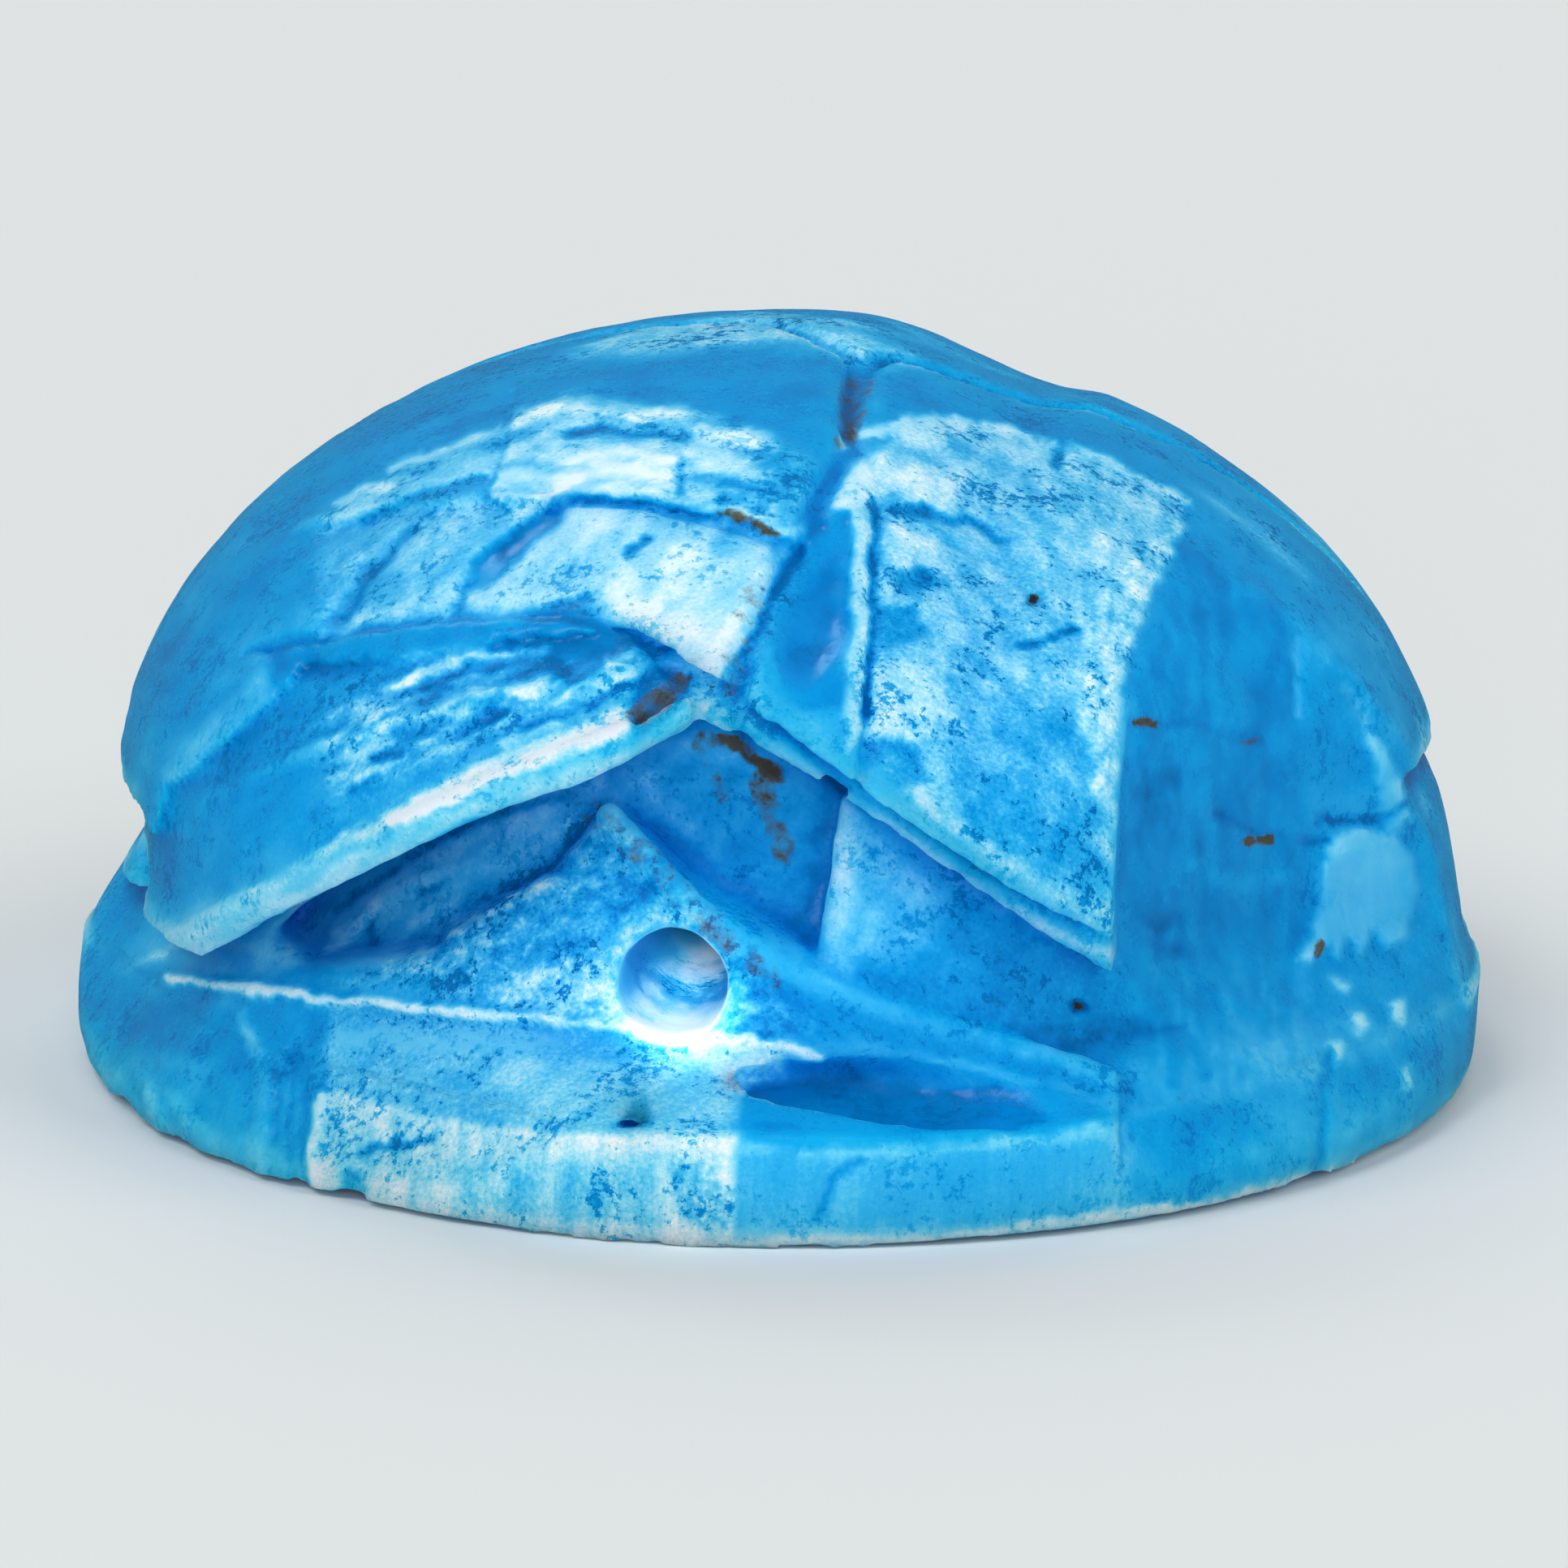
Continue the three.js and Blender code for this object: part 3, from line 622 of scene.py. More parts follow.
RIGHT_LEG_STRIP = [
    (1040, 985), (1130, 1040), (1240, 1110), (1375, 1170), (1380, 1190), (1240, 1130), (1120, 1065),
    (1035, 1000),
]
GLASSY_CHIP = [
    (1000, 645), (1045, 625), (1050, 700), (1048, 800), (1040, 870), (990, 880), (945, 850), (938, 780),
    (955, 710),
]
CHIP_RIDGE = [(1048, 625), (1075, 620), (1075, 800), (1062, 880), (1045, 930), (1040, 860), (1050, 760)]
SEAM_SIDE = [
    (870, 850), (925, 795), (955, 735), (985, 690), (1000, 700), (940, 790), (935, 860), (960, 900),
    (900, 880),
]
# Splinter marks along the left leg: painted highlights on low ridges, and painted shadows in fine
# grooves.
LEG_PAINTED_HIGHLIGHTS = [
    [(472, 849), (559, 816), (597, 805)], [(597, 808), (668, 800)],
    [(429, 925), (461, 881), (510, 871)], [(586, 854), (564, 898), (537, 914)],
    [(624, 854), (657, 860), (640, 873)], [(727, 833), (781, 800)],
    [(700, 850), (684, 892), (620, 915)], [(500, 840), (560, 838), (590, 825)],
    [(520, 890), (560, 862)], [(560, 880), (610, 846)], [(600, 900), (660, 870), (700, 862)],
    [(440, 960), (500, 925), (560, 905)],
]
LEG_PAINTED_SHADOWS = [
    [(684, 811), (700, 827)], [(467, 860), (516, 848), (570, 828), (620, 822)],
    [(461, 935), (532, 919), (559, 908), (620, 880)], [(597, 876), (619, 862), (651, 865)],
    [(490, 905), (540, 880)], [(640, 900), (720, 868), (776, 842)], [(700, 838), (740, 826)],
]
# Painted highlights on the band across the wing cases, on low ridges in the relief.
BAND_PAINTED_HIGHLIGHTS = [
    [(711, 508), (760, 506), (850, 518)], [(790, 566), (828, 568)], [(640, 520), (690, 500)],
    [(860, 528), (930, 545)],
]
BAND_LEFT_PAINTED_HIGHLIGHTS = [[(413, 620), (445, 604), (478, 598)], [(483, 578), (540, 556), (597, 534)]]
BAND_LINES = [
    [(632, 470), (622, 540), (600, 612)], [(700, 536), (760, 530), (850, 540)],
    [(888, 596), (960, 606)], [(888, 618), (950, 628)], [(840, 560), (838, 610)],
    [(450, 640), (520, 610), (597, 590)],
]
PANEL_LINES = [
    [(888, 632), (940, 652), (985, 680)], [(578, 722), (560, 762)],
    [(684, 746), (716, 746), (722, 738)], [(425, 760), (460, 715), (510, 655)],
    [(770, 680), (800, 662)], [(700, 615), (800, 622), (888, 640)],
]
SEAM_LINES = [
    [(985, 680), (955, 740), (925, 795), (905, 870), (925, 930), (960, 950)],
    [(1075, 620), (1075, 800), (1066, 880)], [(1052, 440), (1045, 490), (1050, 545)],
    [(960, 890), (1045, 975)],
]
RIGHT_LINES = [
    [(1257, 797), (1290, 785), (1325, 780)], [(1400, 888), (1470, 893), (1560, 912)],
    [(1310, 540), (1300, 575)], [(1630, 1010), (1700, 1005), (1732, 990)],
    [(1500, 1005), (1560, 1030), (1640, 1034)],
]
STEP_LINES = [[(1598, 790), (1598, 885)], [(1660, 845), (1672, 865), (1685, 890)]]
PLINTH_LINES = [
    [(360, 1300), (358, 1400), (362, 1480)], [(376, 1312), (374, 1400), (378, 1470)],
    [(343, 1322), (341, 1410)], [(1640, 1290), (1632, 1360), (1622, 1450)],
    [(1012, 1500), (1022, 1455), (1060, 1425)], [(452, 1420), (490, 1408), (530, 1404)],
]
HOLLOW_LINES = [
    [(414, 1120), (500, 1060), (575, 1013), (704, 981)], [(640, 1092), (690, 1058), (720, 1010)],
    [(457, 1140), (462, 1165)], [(520, 1100), (545, 1086)],
]
HOLLOW_FOLDS = [[(400, 1165), (480, 1100), (600, 1060)], [(560, 1150), (620, 1110), (680, 1085)]]
CORNER_FOLDS = [
    [(215, 1345), (240, 1400), (262, 1432)], [(176, 1320), (196, 1385)],
    [(300, 1250), (320, 1330), (322, 1440)],
]
FLAKE_FOLDS = [
    [(1482, 1215), (1540, 1240), (1600, 1235)], [(1500, 1290), (1560, 1302), (1620, 1276)],
    [(1470, 1062), (1530, 1090), (1590, 1084)], [(1420, 1235), (1450, 1300), (1452, 1350)],
]
PLINTH_RIPPLES = [
    [(830, 1440), (838, 1490), (880, 1520)], [(842, 1436), (850, 1480), (892, 1508)],
    [(856, 1434), (864, 1470), (900, 1492)], [(872, 1434), (880, 1460), (902, 1474)],
]
LEDGE_EDGE_BRIGHT = [(779, 1268), (850, 1274), (930, 1284)]
LEDGE_EDGE = [
    (200, 1205), (260, 1214), (410, 1230), (620, 1252), (800, 1272), (950, 1287), (1010, 1302),
]
PLINTH_TOP_EDGE = [(402, 1346), (500, 1374), (620, 1395), (760, 1405), (900, 1408)]
PLINTH_LEFT_EDGE = [(392, 1350), (386, 1420), (384, 1485)]
PLINTH_FOOT = [(910, 1532), (1100, 1530), (1300, 1510), (1500, 1480), (1700, 1430)]
RIGHT_BAND_EDGE = [(1040, 548), (1110, 518), (1190, 517), (1340, 557), (1462, 617)]
DEEP_PITS = [[(1272, 738), (1273, 740)], [(1325, 1236), (1326, 1238)]]

# Relief of the tail in millimetres, where more is deeper: a worn skin that is never quite flat,
# panels and facets a little deeper or higher than their neighbours, and fine lines. Each row gives
# the depth, the softness of the edge or the width of the line in pixels, and where it is.
SWELL, RIPPLE = 0.02, 0.012
relief = SWELL * grain(map_x / 120, map_y / 90, 1.1, 3)
relief += RIPPLE * grain(map_x / 22, map_y / 22, 6.1, 3)
for depth, softness, outlines in [
    (0.05, 12, [WING_PANEL]), (0.08, 16, [PANEL_FACET]), (0.05, 16, [PANEL_LEFT_FACET]),
    (0.04, 50, [UNDER_PANEL_SHADOW]), (-0.04, 10, [WING_BAND]), (-0.02, 8, [BAND_BRIGHT]),
    (0.12, 18, [LEG_PIT]), (0.04, 10, [GLASSY_CHIP]), (-0.05, 12, [CHIP_RIDGE]),
    (-0.05, 16, [FLAKE_RIM]), (-0.07, 10, [TONGUE]), (-0.05, 10, [TONGUE_LOBES]),
    (0.04, 12, RIGHT_WING_BLUE), (-0.02, 12, RIGHT_WING_WHITE), (0.05, 8, [WING_SLOT]),
    (-0.03, 8, TONGUE_PAINTED_GLINTS_AND_CHIP), (0.05, 8, [LEDGE_DARK, PLINTH_CHIP]), (0.02, 8, FLAKE_SMUDGES),
]:
    for outline in outlines:
        relief += depth * area(outline, softness)
for depth, width, lines in [
    (0.03, 4, BAND_LINES), (0.04, 5, PANEL_LINES), (0.05, 7, SEAM_LINES), (0.04, 5, RIGHT_LINES),
    (0.06, 4, STEP_LINES), (0.04, 5, PLINTH_LINES), (0.015, 3, PLINTH_RIPPLES),
    (0.04, 4, HOLLOW_LINES), (-0.04, 14, HOLLOW_FOLDS), (-0.03, 12, CORNER_FOLDS),
    (-0.02, 14, FLAKE_FOLDS), (-0.03, 4, LEG_PAINTED_HIGHLIGHTS), (0.04, 5, LEG_PAINTED_SHADOWS),
    (-0.02, 6, BAND_PAINTED_HIGHLIGHTS), (-0.08, 8, [LEDGE_EDGE]), (-0.04, 7, [PLINTH_LEFT_EDGE]),
    (0.22, 6, DEEP_PITS),
]:
    for points in lines:
        relief += depth * stroke(points, width, 7)

# Frost, from 0 on glassy breaks to 1 on ground and weathered skin, with painted light laid into it in
# places: painted highlights, glints and shadow, and paler paint in a shaded hollow. How much, how soft
# or how wide in pixels, and where.
PLAIN_TAIL_FROST, TAIL_FROST_CLOUDS = 0.3, 0.1
frost_and_painted_light = PLAIN_TAIL_FROST + TAIL_FROST_CLOUDS * grain(map_x / 90, map_y / 60, 4.4, 3)
for amount, softness, outlines in [
    (0.22, 60, [THORAX]), (0.46, 20, [WING_BAND]), (0.6, 14, [BAND_MIDDLE]),
    (0.82, 10, [BAND_BRIGHT, BAND_LEFT_BRIGHT]), (0.58, 14, [WING_PANEL]),
    (0.82, 44, [PANEL_BRIGHT]), (0.68, 24, [PANEL_LOW_BRIGHT]), (0.24, 10, [PANEL_FACET]),
    # A painted shadow under the panel.
    (0.4, 16, [PANEL_LEFT_FACET]), (0.08, 26, [UNDER_PANEL_SHADOW]), (0.44, 50, [LEG_BAND]),
    # A painted highlight on the frosted chamfer.
    # Painted light in the left hollow: its seen face and left end paler, its right part darker.
    (0.55, 16, [LEG_CHAMFER]), (0.92, 12, [CHAMFER_FROST_AND_HIGHLIGHT]), (0.5, 12, [LEFT_HOLLOW_SEEN]),
    (0.26, 40, [HOLLOW_RIGHT]), (0.5, 40, [HOLLOW_LEFT_END]), (0.36, 34, [BORE_MOUND]),
    (0.26, 30, [TENT_RIDGE]), (0.62, 26, [MOUND_BRIGHT]), (0.47, 14, [LEDGE]),
    (0.56, 10, [LEDGE_SMOOTH]), (0.68, 20, [LEDGE_UNDER_BORE]), (0.22, 8, [LEDGE_DARK]),
    (0.12, 12, [LEDGE_LENS]), (0.64, 8, [PLINTH_FROSTED]), (0.76, 30, [PLINTH_TOP_BRIGHT]),
    (0.8, 56, [PLINTH_RIPPLED]), (0.3, 8, [PLINTH_CHIP]), (0.43, 8, [PLINTH_RIGHT]),
    (0.2, 30, [LEFT_OF_LEDGE]), (0.61, 12, [RIGHT_WING]), (0.4, 60, [RIGHT_WING_LOW]),
    (0.8, 20, RIGHT_WING_WHITE), (0.3, 14, RIGHT_WING_BLUE), (0.3, 8, [WING_SLOT]),
    (0.66, 16, [FLAKE_RIM]), (0.2, 26, [FLAKE_INSIDE]), (0.3, 60, [FLAKE_LOW]),
    (0.08, 24, FLAKE_SMUDGES), (0.52, 8, [TONGUE]), (0.5, 12, [TONGUE_LOBES]),
    # Painted glints at the lower right, with one pale chip among them.
    (0.66, 16, TONGUE_PAINTED_GLINTS_AND_CHIP), (0.24, 14, [RIGHT_BODY]), (0.56, 50, [RIGHT_BODY_BRIGHT]),
    (0.5, 8, [RIGHT_LEG_STRIP]), (0.22, 10, [GLASSY_CHIP]), (0.6, 10, [CHIP_RIDGE]),
    (0.3, 20, [SEAM_SIDE]), (0.08, 14, [LEG_PIT]), (0.24, 40, [LEG_LOW]),
]:
    for outline in outlines:
        frost_and_painted_light = lay(frost_and_painted_light, amount, area(outline, softness))
for amount, width, lines in [
    # Some of these rows are painted highlights on the band over the wing cases.
    (0.78, 4, [LEDGE_EDGE]), (0.85, 8, [LEDGE_EDGE_BRIGHT]), (0.66, 4, BAND_LEFT_PAINTED_HIGHLIGHTS),
    (0.82, 4, [PLINTH_TOP_EDGE]), (0.75, 7, [PLINTH_LEFT_EDGE]), (0.7, 5, [PLINTH_FOOT]),
    # Painted highlights and painted shadows along the left leg, on this line and the next.
    (0.75, 5, [RIGHT_BAND_EDGE]), (0.86, 6, BAND_PAINTED_HIGHLIGHTS), (0.64, 3, LEG_PAINTED_HIGHLIGHTS),
    (0.24, 4, LEG_PAINTED_SHADOWS), (0.3, 3, BAND_LINES), (0.24, 4, PANEL_LINES), (0.1, 5, SEAM_LINES),
    (0.16, 3, RIGHT_LINES), (0.5, 4, STEP_LINES), (0.5, 3, PLINTH_RIPPLES), (0.2, 3, PLINTH_LINES),
    (0.2, 4, HOLLOW_LINES), (0.52, 12, HOLLOW_FOLDS), (0.34, 10, CORNER_FOLDS),
    (0.27, 12, FLAKE_FOLDS),
]:
    for points in lines:
        frost_and_painted_light = lay(frost_and_painted_light, amount, stroke(points, width, 6))


def streaks(slope, length, width, seed):
    """Soft streaks between -1 and 1 that run down to the right by the slope, and waver."""
    run = (1 + slope * slope) ** 0.5
    along, across = (wobble_x + slope * wobble_y) / run, (wobble_y - slope * wobble_x) / run
    return np.clip(2.2 * grain(along / length, across / width, seed, 3), -1, 1)


# Splinters and scratches run up along the left leg, level over the band, and down the plinth. Each
# row gives how strong they are, where, how soft the edge is, their slope, length and width, and a seed.
STREAKS = [
    (0.2, LEG_BAND, 60, -0.42, 95, 17, 2.3),
    (0.18, LEG_BAND, 60, -0.5, 50, 8, 1.3),
    (0.16, LEG_CHAMFER, 20, -0.5, 60, 11, 5.9),
    (0.16, BAND_MIDDLE, 20, 0.05, 80, 13, 8.2),
    (0.14, WING_BAND, 20, -0.3, 90, 16, 4.7),
    (0.09, PLINTH_FROSTED, 10, 20, 90, 12, 7.7),
    (0.1, RIGHT_WING, 20, 3, 34, 18, 3.1),
    (0.12, WING_PANEL, 20, -1.2, 60, 26, 9.4),
    (0.22, BORE_MOUND, 30, -0.6, 13, 8, 6.6),
    (0.2, FLAKE_RIM, 20, -3, 20, 9, 1.9),
    (0.07, FLAKE_INSIDE, 40, 8, 60, 16, 4.1),
    (0.08, LEFT_HOLLOW_SEEN, 20, -0.8, 40, 14, 3.3),
    (0.06, RIGHT_BODY, 20, -1.5, 50, 16, 8.8),
]
for amount, outline, softness, slope, length, width, seed in STREAKS:
    frost_and_painted_light += amount * area(outline, softness) * streaks(slope, length, width, seed)

# How rough the skin's grain is, from 0 where it is smooth to 1 where it is crusted and pitted.
PLAIN_TAIL_CRUST = 0.25
crust = np.full(map_x.shape, PLAIN_TAIL_CRUST)
for amount, softness, outlines in [
    (0.1, 60, [THORAX]), (0.5, 20, [WING_BAND]), (0.5, 20, [WING_PANEL]),
    (0.2, 10, [BAND_BRIGHT, BAND_LEFT_BRIGHT]), (0.7, 40, [LEG_BAND]), (0.6, 10, [LEG_CHAMFER]),
    (0.3, 20, [LEFT_HOLLOW_SEEN]), (1.0, 30, [BORE_MOUND]), (0.7, 14, [LEDGE]),
    (0.2, 10, [LEDGE_SMOOTH]), (0.7, 8, [PLINTH_FROSTED]), (0.3, 8, [PLINTH_RIGHT]),
    (0.8, 14, [RIGHT_WING]), (0.9, 12, [FLAKE_RIM]), (0.08, 20, [FLAKE_INSIDE]),
    (0.05, 8, [TONGUE]), (0.05, 8, [TONGUE_LOBES]), (0.4, 14, [RIGHT_BODY]),
    (0.1, 10, [GLASSY_CHIP]), (0.1, 20, [LEDGE_LENS]), (1.0, 20, [SEAM_SIDE]), (0.9, 10, [LEG_PIT]),
    (0.15, 30, [UNDER_PANEL_SHADOW]), (0.1, 10, [PANEL_FACET]),
]:
    for outline in outlines:
        crust = lay(crust, amount, area(outline, softness))

picture_x, picture_y = in_picture(X, Y, Z)
# The map holds for the tail, and fades out towards the middle.
MAP_FADE = (0.5, 1.5)
near_tail = smoothstep(-Y, *MAP_FADE)
stone = stone + near_tail * on_map(relief, picture_x, picture_y).astype(np.float32)

# The skin of the stone as a mesh, from the grid of distances.
grid = openvdb.FloatGrid(1.0)
grid.copyFromArray(np.ascontiguousarray(stone, dtype=np.float64))
steps, quads = grid.convertToQuads()
skin = np.stack([
    np.interp(steps[:, i], np.arange(len(axis)), axis)
    for i, axis in enumerate((axis_x, axis_y, axis_z))
], 1)
skin_mesh = bpy.data.meshes.new("scarab_stone")
skin_mesh.from_pydata(skin * 0.001, [], quads)
scarab = bpy.data.objects.new("scarab_stone", skin_mesh)
bpy.context.scene.collection.objects.link(scarab)
MOST_TRIANGLES = 190000
thin_out = scarab.modifiers.new("thin_out", "DECIMATE")
thin_out.ratio = min(1, MOST_TRIANGLES / (2 * len(quads)))
bpy.context.view_layer.update()
skin_mesh = bpy.data.meshes.new_from_object(scarab.evaluated_get(bpy.context.evaluated_depsgraph_get()))
scarab.modifiers.clear()
scarab.data = skin_mesh
skin_mesh.shade_smooth()

places = np.empty(3 * len(skin_mesh.vertices))
skin_mesh.vertices.foreach_get("co", places)
places = places.reshape(-1, 3) * 1000
normals = np.empty(3 * len(skin_mesh.vertices))
skin_mesh.vertex_normals.foreach_get("vector", normals)
normals = normals.reshape(-1, 3)
# Grinding by hand leaves the skin slightly uneven: waves of about 1.5 mm, and dents of about 0.4 mm.
WAVE, WAVE_HEIGHT = 1.5, 0.03
DENT, DENT_DEPTH = 0.4, 0.012
uneven = np.array([
    WAVE_HEIGHT * noise.noise((x / WAVE, y / WAVE, z / WAVE))
    + DENT_DEPTH * noise.noise((x / DENT, y / DENT, z / DENT + 7))
    for x, y, z in places.tolist()
])
uneven = np.minimum(uneven, 0.01) * smoothstep(places[:, 2], 0.05, 0.4)
places += normals * uneven[:, None]
skin_mesh.vertices.foreach_set("co", (places * 0.001).ravel())
skin_mesh.update()
facing = normals @ np.array(back_axis)
seen_x, seen_y = in_picture(*places.T)
on_tail = smoothstep(-places[:, 1], *MAP_FADE) * smoothstep(facing, -0.1, 0.15)

# Brown dirt that has stayed in the hollows and cracks: how much, how wide, and where in the picture.
DIRT_STROKES = [
    (0.44, 24, [(1052, 445), (1045, 490), (1050, 538)]),
    (0.46, 10, [(1075, 470), (1062, 520), (1035, 545)]),
    (0.7, 8, [(888, 632), (925, 640), (955, 658)]),
    (0.68, 12, [(862, 900), (905, 912), (945, 945), (960, 958)]),
    (0.4, 30, [(720, 992), (790, 1050), (870, 1130), (965, 1218)]),
    (0.36, 36, [(940, 720), (905, 790), (890, 850)]),
    (0.56, 30, [(790, 880), (835, 842)]),
    (0.42, 22, [(858, 915), (875, 950), (892, 985)]),
    (0.52, 28, [(935, 965), (952, 1010), (968, 1050)]),
    (0.75, 8, [(1400, 886), (1422, 890)]),
    (0.5, 5, [(1525, 914), (1552, 911)]),
    (0.75, 10, [(1530, 1040), (1562, 1036)]),
    (0.7, 9, [(1627, 1160), (1624, 1175)]),
    (0.7, 9, [(1736, 895), (1738, 902)]),
    (0.8, 7, [(1271, 738), (1274, 740)]),
    (0.7, 6, [(1325, 1236), (1327, 1238)]),
    (0.4, 5, [(306, 823), (310, 824)]),
    (0.4, 5, [(357, 799), (360, 801)]),
]
dirt = np.zeros(map_x.shape)
for amount, width, points in DIRT_STROKES:
    dirt = np.maximum(dirt, amount * stroke(points, width, 7))
dirt_values = on_tail * on_map(dirt, seen_x, seen_y)


def at(values, x, y, z):
    """The value on the grid at places in millimetres."""
    axes = ((x, axis_x), (y, axis_y), (z, axis_z))
    steps = [np.interp(v, axis, np.arange(len(axis))) for v, axis in axes]
    steps = [np.clip(step, 0, count - 1.001) for step, count in zip(steps, values.shape)]
    (i, j, k), total = (step.astype(int) for step in steps), 0
    r, s, t = steps[0] - i, steps[1] - j, steps[2] - k
    for a, b, c in np.ndindex(2, 2, 2):
        weight = abs(1 - a - r) * abs(1 - b - s) * abs(1 - c - t)
        total = total + weight * values[i + a, j + b, k + c]
    return total


# Edges are worn pale, and the stone is made a deeper blue where it sinks into grooves: how far the
# stone bulges or sinks within 0.25 mm, and from where to where that starts to show.
REACH = 0.25
WEAR_SHOWS = (0.012, 0.045)
bulge = -at(stone, *places.T)
for offset in (*np.eye(3), *-np.eye(3)):
    bulge += at(stone, *(places + REACH * offset).T) / 6
# Round the rest of the amulet the skin is scuffed in patches of about 3 mm.
PATCH = 3
scuffs = np.array([
    noise.fractal((x / PATCH, y / PATCH, z / PATCH + 20), 0.8, 2.1, 4) for x, y, z in places.tolist()
])
scuffed = smoothstep(scuffs, 0.0, 0.6)
PLAIN_FROST, SCUFF_FROST = 0.28, 0.34
frost_and_painted_light_values = PLAIN_FROST + SCUFF_FROST * scuffed
frost_and_painted_light_values += on_tail * (on_map(frost_and_painted_light, seen_x, seen_y) - frost_and_painted_light_values)
# The tail's edges are already on its map, so there the wear counts for less.
EDGE_FROST, GROOVE_FROST = 0.34, 0.24
frost_and_painted_light_values += (EDGE_FROST - 0.2 * on_tail) * smoothstep(bulge, *WEAR_SHOWS)
frost_and_painted_light_values -= (GROOVE_FROST - 0.1 * on_tail) * smoothstep(-bulge, *WEAR_SHOWS)
# The wall of the threading hole is painted pale, a painted glow for light that comes through it, and
# painted whitest at the lower right of its mouth in the picture, a painted highlight.
BORE_MOUTH_SEEN = (800, 1225)
from_hole = np.hypot(places[:, 0] - HOLE_X, places[:, 2] - HOLE_Z)
in_bore = 1 - smoothstep(from_hole, 0.47, 0.53)
lower_right = 0.7 * (seen_x - BORE_MOUTH_SEEN[0]) + seen_y - BORE_MOUTH_SEEN[1]
BORE_PAINTED_GLOW, BORE_PAINTED_HIGHLIGHT = 0.5, 0.5
bore_painted_glow = BORE_PAINTED_GLOW + BORE_PAINTED_HIGHLIGHT * smoothstep(lower_right, -40, 10)
frost_and_painted_light_values = frost_and_painted_light_values * (1 - in_bore) + bore_painted_glow * in_bore
PLAIN_CRUST, SCUFF_CRUST = 0.3, 0.6
crust_values = PLAIN_CRUST + SCUFF_CRUST * scuffed
crust_values += on_tail * (on_map(crust, seen_x, seen_y) - crust_values)
crust_values *= 1 - in_bore
for name, values in [("dirt", dirt_values), ("frost_and_painted_light", frost_and_painted_light_values), ("crust", crust_values)]:
    attribute = skin_mesh.attributes.new(name, "FLOAT", "POINT")
    attribute.data.foreach_set("value", values.astype(np.float32))

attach(scarab, "root")
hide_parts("scarab")


def linear(hex_colour):
    """An sRGB hex value as linear red, green, blue and alpha."""
    values = [int(hex_colour[i:i + 2], 16) / 255 for i in (1, 3, 5)]
    return (*((v / 12.92 if v <= 0.04045 else ((v + 0.055) / 1.055) ** 2.4) for v in values), 1)


# Blue translucent stone or glass, ground by hand and worn: light goes some millimetres into it and
# comes out again, it is pale and matt where it is ground or scuffed, and deep blue and smooth where
# it is broken.
stone_material = bpy.data.materials.new("translucent_blue_stone")
stone_material.use_nodes = True
tree = stone_material.node_tree
shader = tree.nodes["Principled BSDF"]


def add(kind, settings=None, **links):
    """A node with its settings, and its named inputs set to a value or linked to a socket."""
    node = tree.nodes.new(kind)
    for name, value in (settings or {}).items():
        setattr(node, name, value)
    for name, value in links.items():
        key = int(name[1:]) if name[1:].isdigit() else name.replace("_", " ")
        if isinstance(value, bpy.types.NodeSocket):
            tree.links.new(value, node.inputs[key])
        else:
            node.inputs[key].default_value = value
    return node


# Texture space in millimetres.
object_space = add("ShaderNodeTexCoord").outputs["Object"]
in_mm = add("ShaderNodeVectorMath", {"operation": "SCALE"},
            i0=object_space, Scale=1000).outputs["Vector"]
frost_and_painted_light_mask, crust_mask, dirt_mask = (
    add("ShaderNodeAttribute", {"attribute_name": name}).outputs["Fac"]
    for name in ("frost_and_painted_light", "crust", "dirt")
)
# Scratches from grinding: about 0.15 mm wide and 1 to 2 mm long. They run down the plinth's wall,
# and above it along the folded legs, down from the middle to both sides.
place_mm = add("ShaderNodeSeparateXYZ", i0=in_mm).outputs
from_middle = add("ShaderNodeMath", {"operation": "SUBTRACT"}, i0=place_mm["X"], i1=0.5).outputs[0]
from_middle = add("ShaderNodeMath", {"operation": "ABSOLUTE"}, i0=from_middle).outputs[0]
downhill = add("ShaderNodeMath", {"operation": "MULTIPLY"}, i0=place_mm["Z"], i1=-0.57).outputs[0]
along_leg = add("ShaderNodeMath", {"operation": "MULTIPLY_ADD"},
                i0=from_middle, i1=0.82, i2=downhill).outputs[0]
uphill = add("ShaderNodeMath", {"operation": "MULTIPLY"}, i0=place_mm["Z"], i1=0.82).outputs[0]
across_leg = add("ShaderNodeMath", {"operation": "MULTIPLY_ADD"},
                 i0=from_middle, i1=0.57, i2=uphill).outputs[0]
leg_space = add("ShaderNodeCombineXYZ", X=along_leg, Y=place_mm["Y"], Z=across_leg).outputs[0]
leg_space = add("ShaderNodeVectorMath", {"operation": "MULTIPLY"},
                i0=leg_space, i1=(0.8, 1.5, 6.5)).outputs[0]
wall_space = add("ShaderNodeVectorMath", {"operation": "MULTIPLY"},
                 i0=in_mm, i1=(6.5, 3.0, 0.7)).outputs[0]
on_plinth = add("ShaderNodeMapRange",
                Value=place_mm["Z"], From_Min=0.98, From_Max=1.04, To_Min=1.0, To_Max=0.0)
scratch_space = add("ShaderNodeMix", {"data_type": "VECTOR"},
                    i0=on_plinth.outputs[0], i4=leg_space, i5=wall_space)
scratches = add("ShaderNodeTexNoise",
                Vector=scratch_space.outputs[1], Scale=1.0, Detail=4, Roughness=0.6)
# Clouds about 1 mm wide, grains of about 0.04 mm, and ragged pits of about 0.07 mm that lie in swarms.
clouds, grains, pits, swarms = (
    add("ShaderNodeTexNoise",
        Vector=in_mm, Scale=scale, Detail=detail, Roughness=roughness).outputs["Fac"]
    for scale, detail, roughness in [(0.9, 5, 0.62), (22.0, 3, 0.65), (10.0, 4, 0.75), (1.7, 2, 0.5)]
)
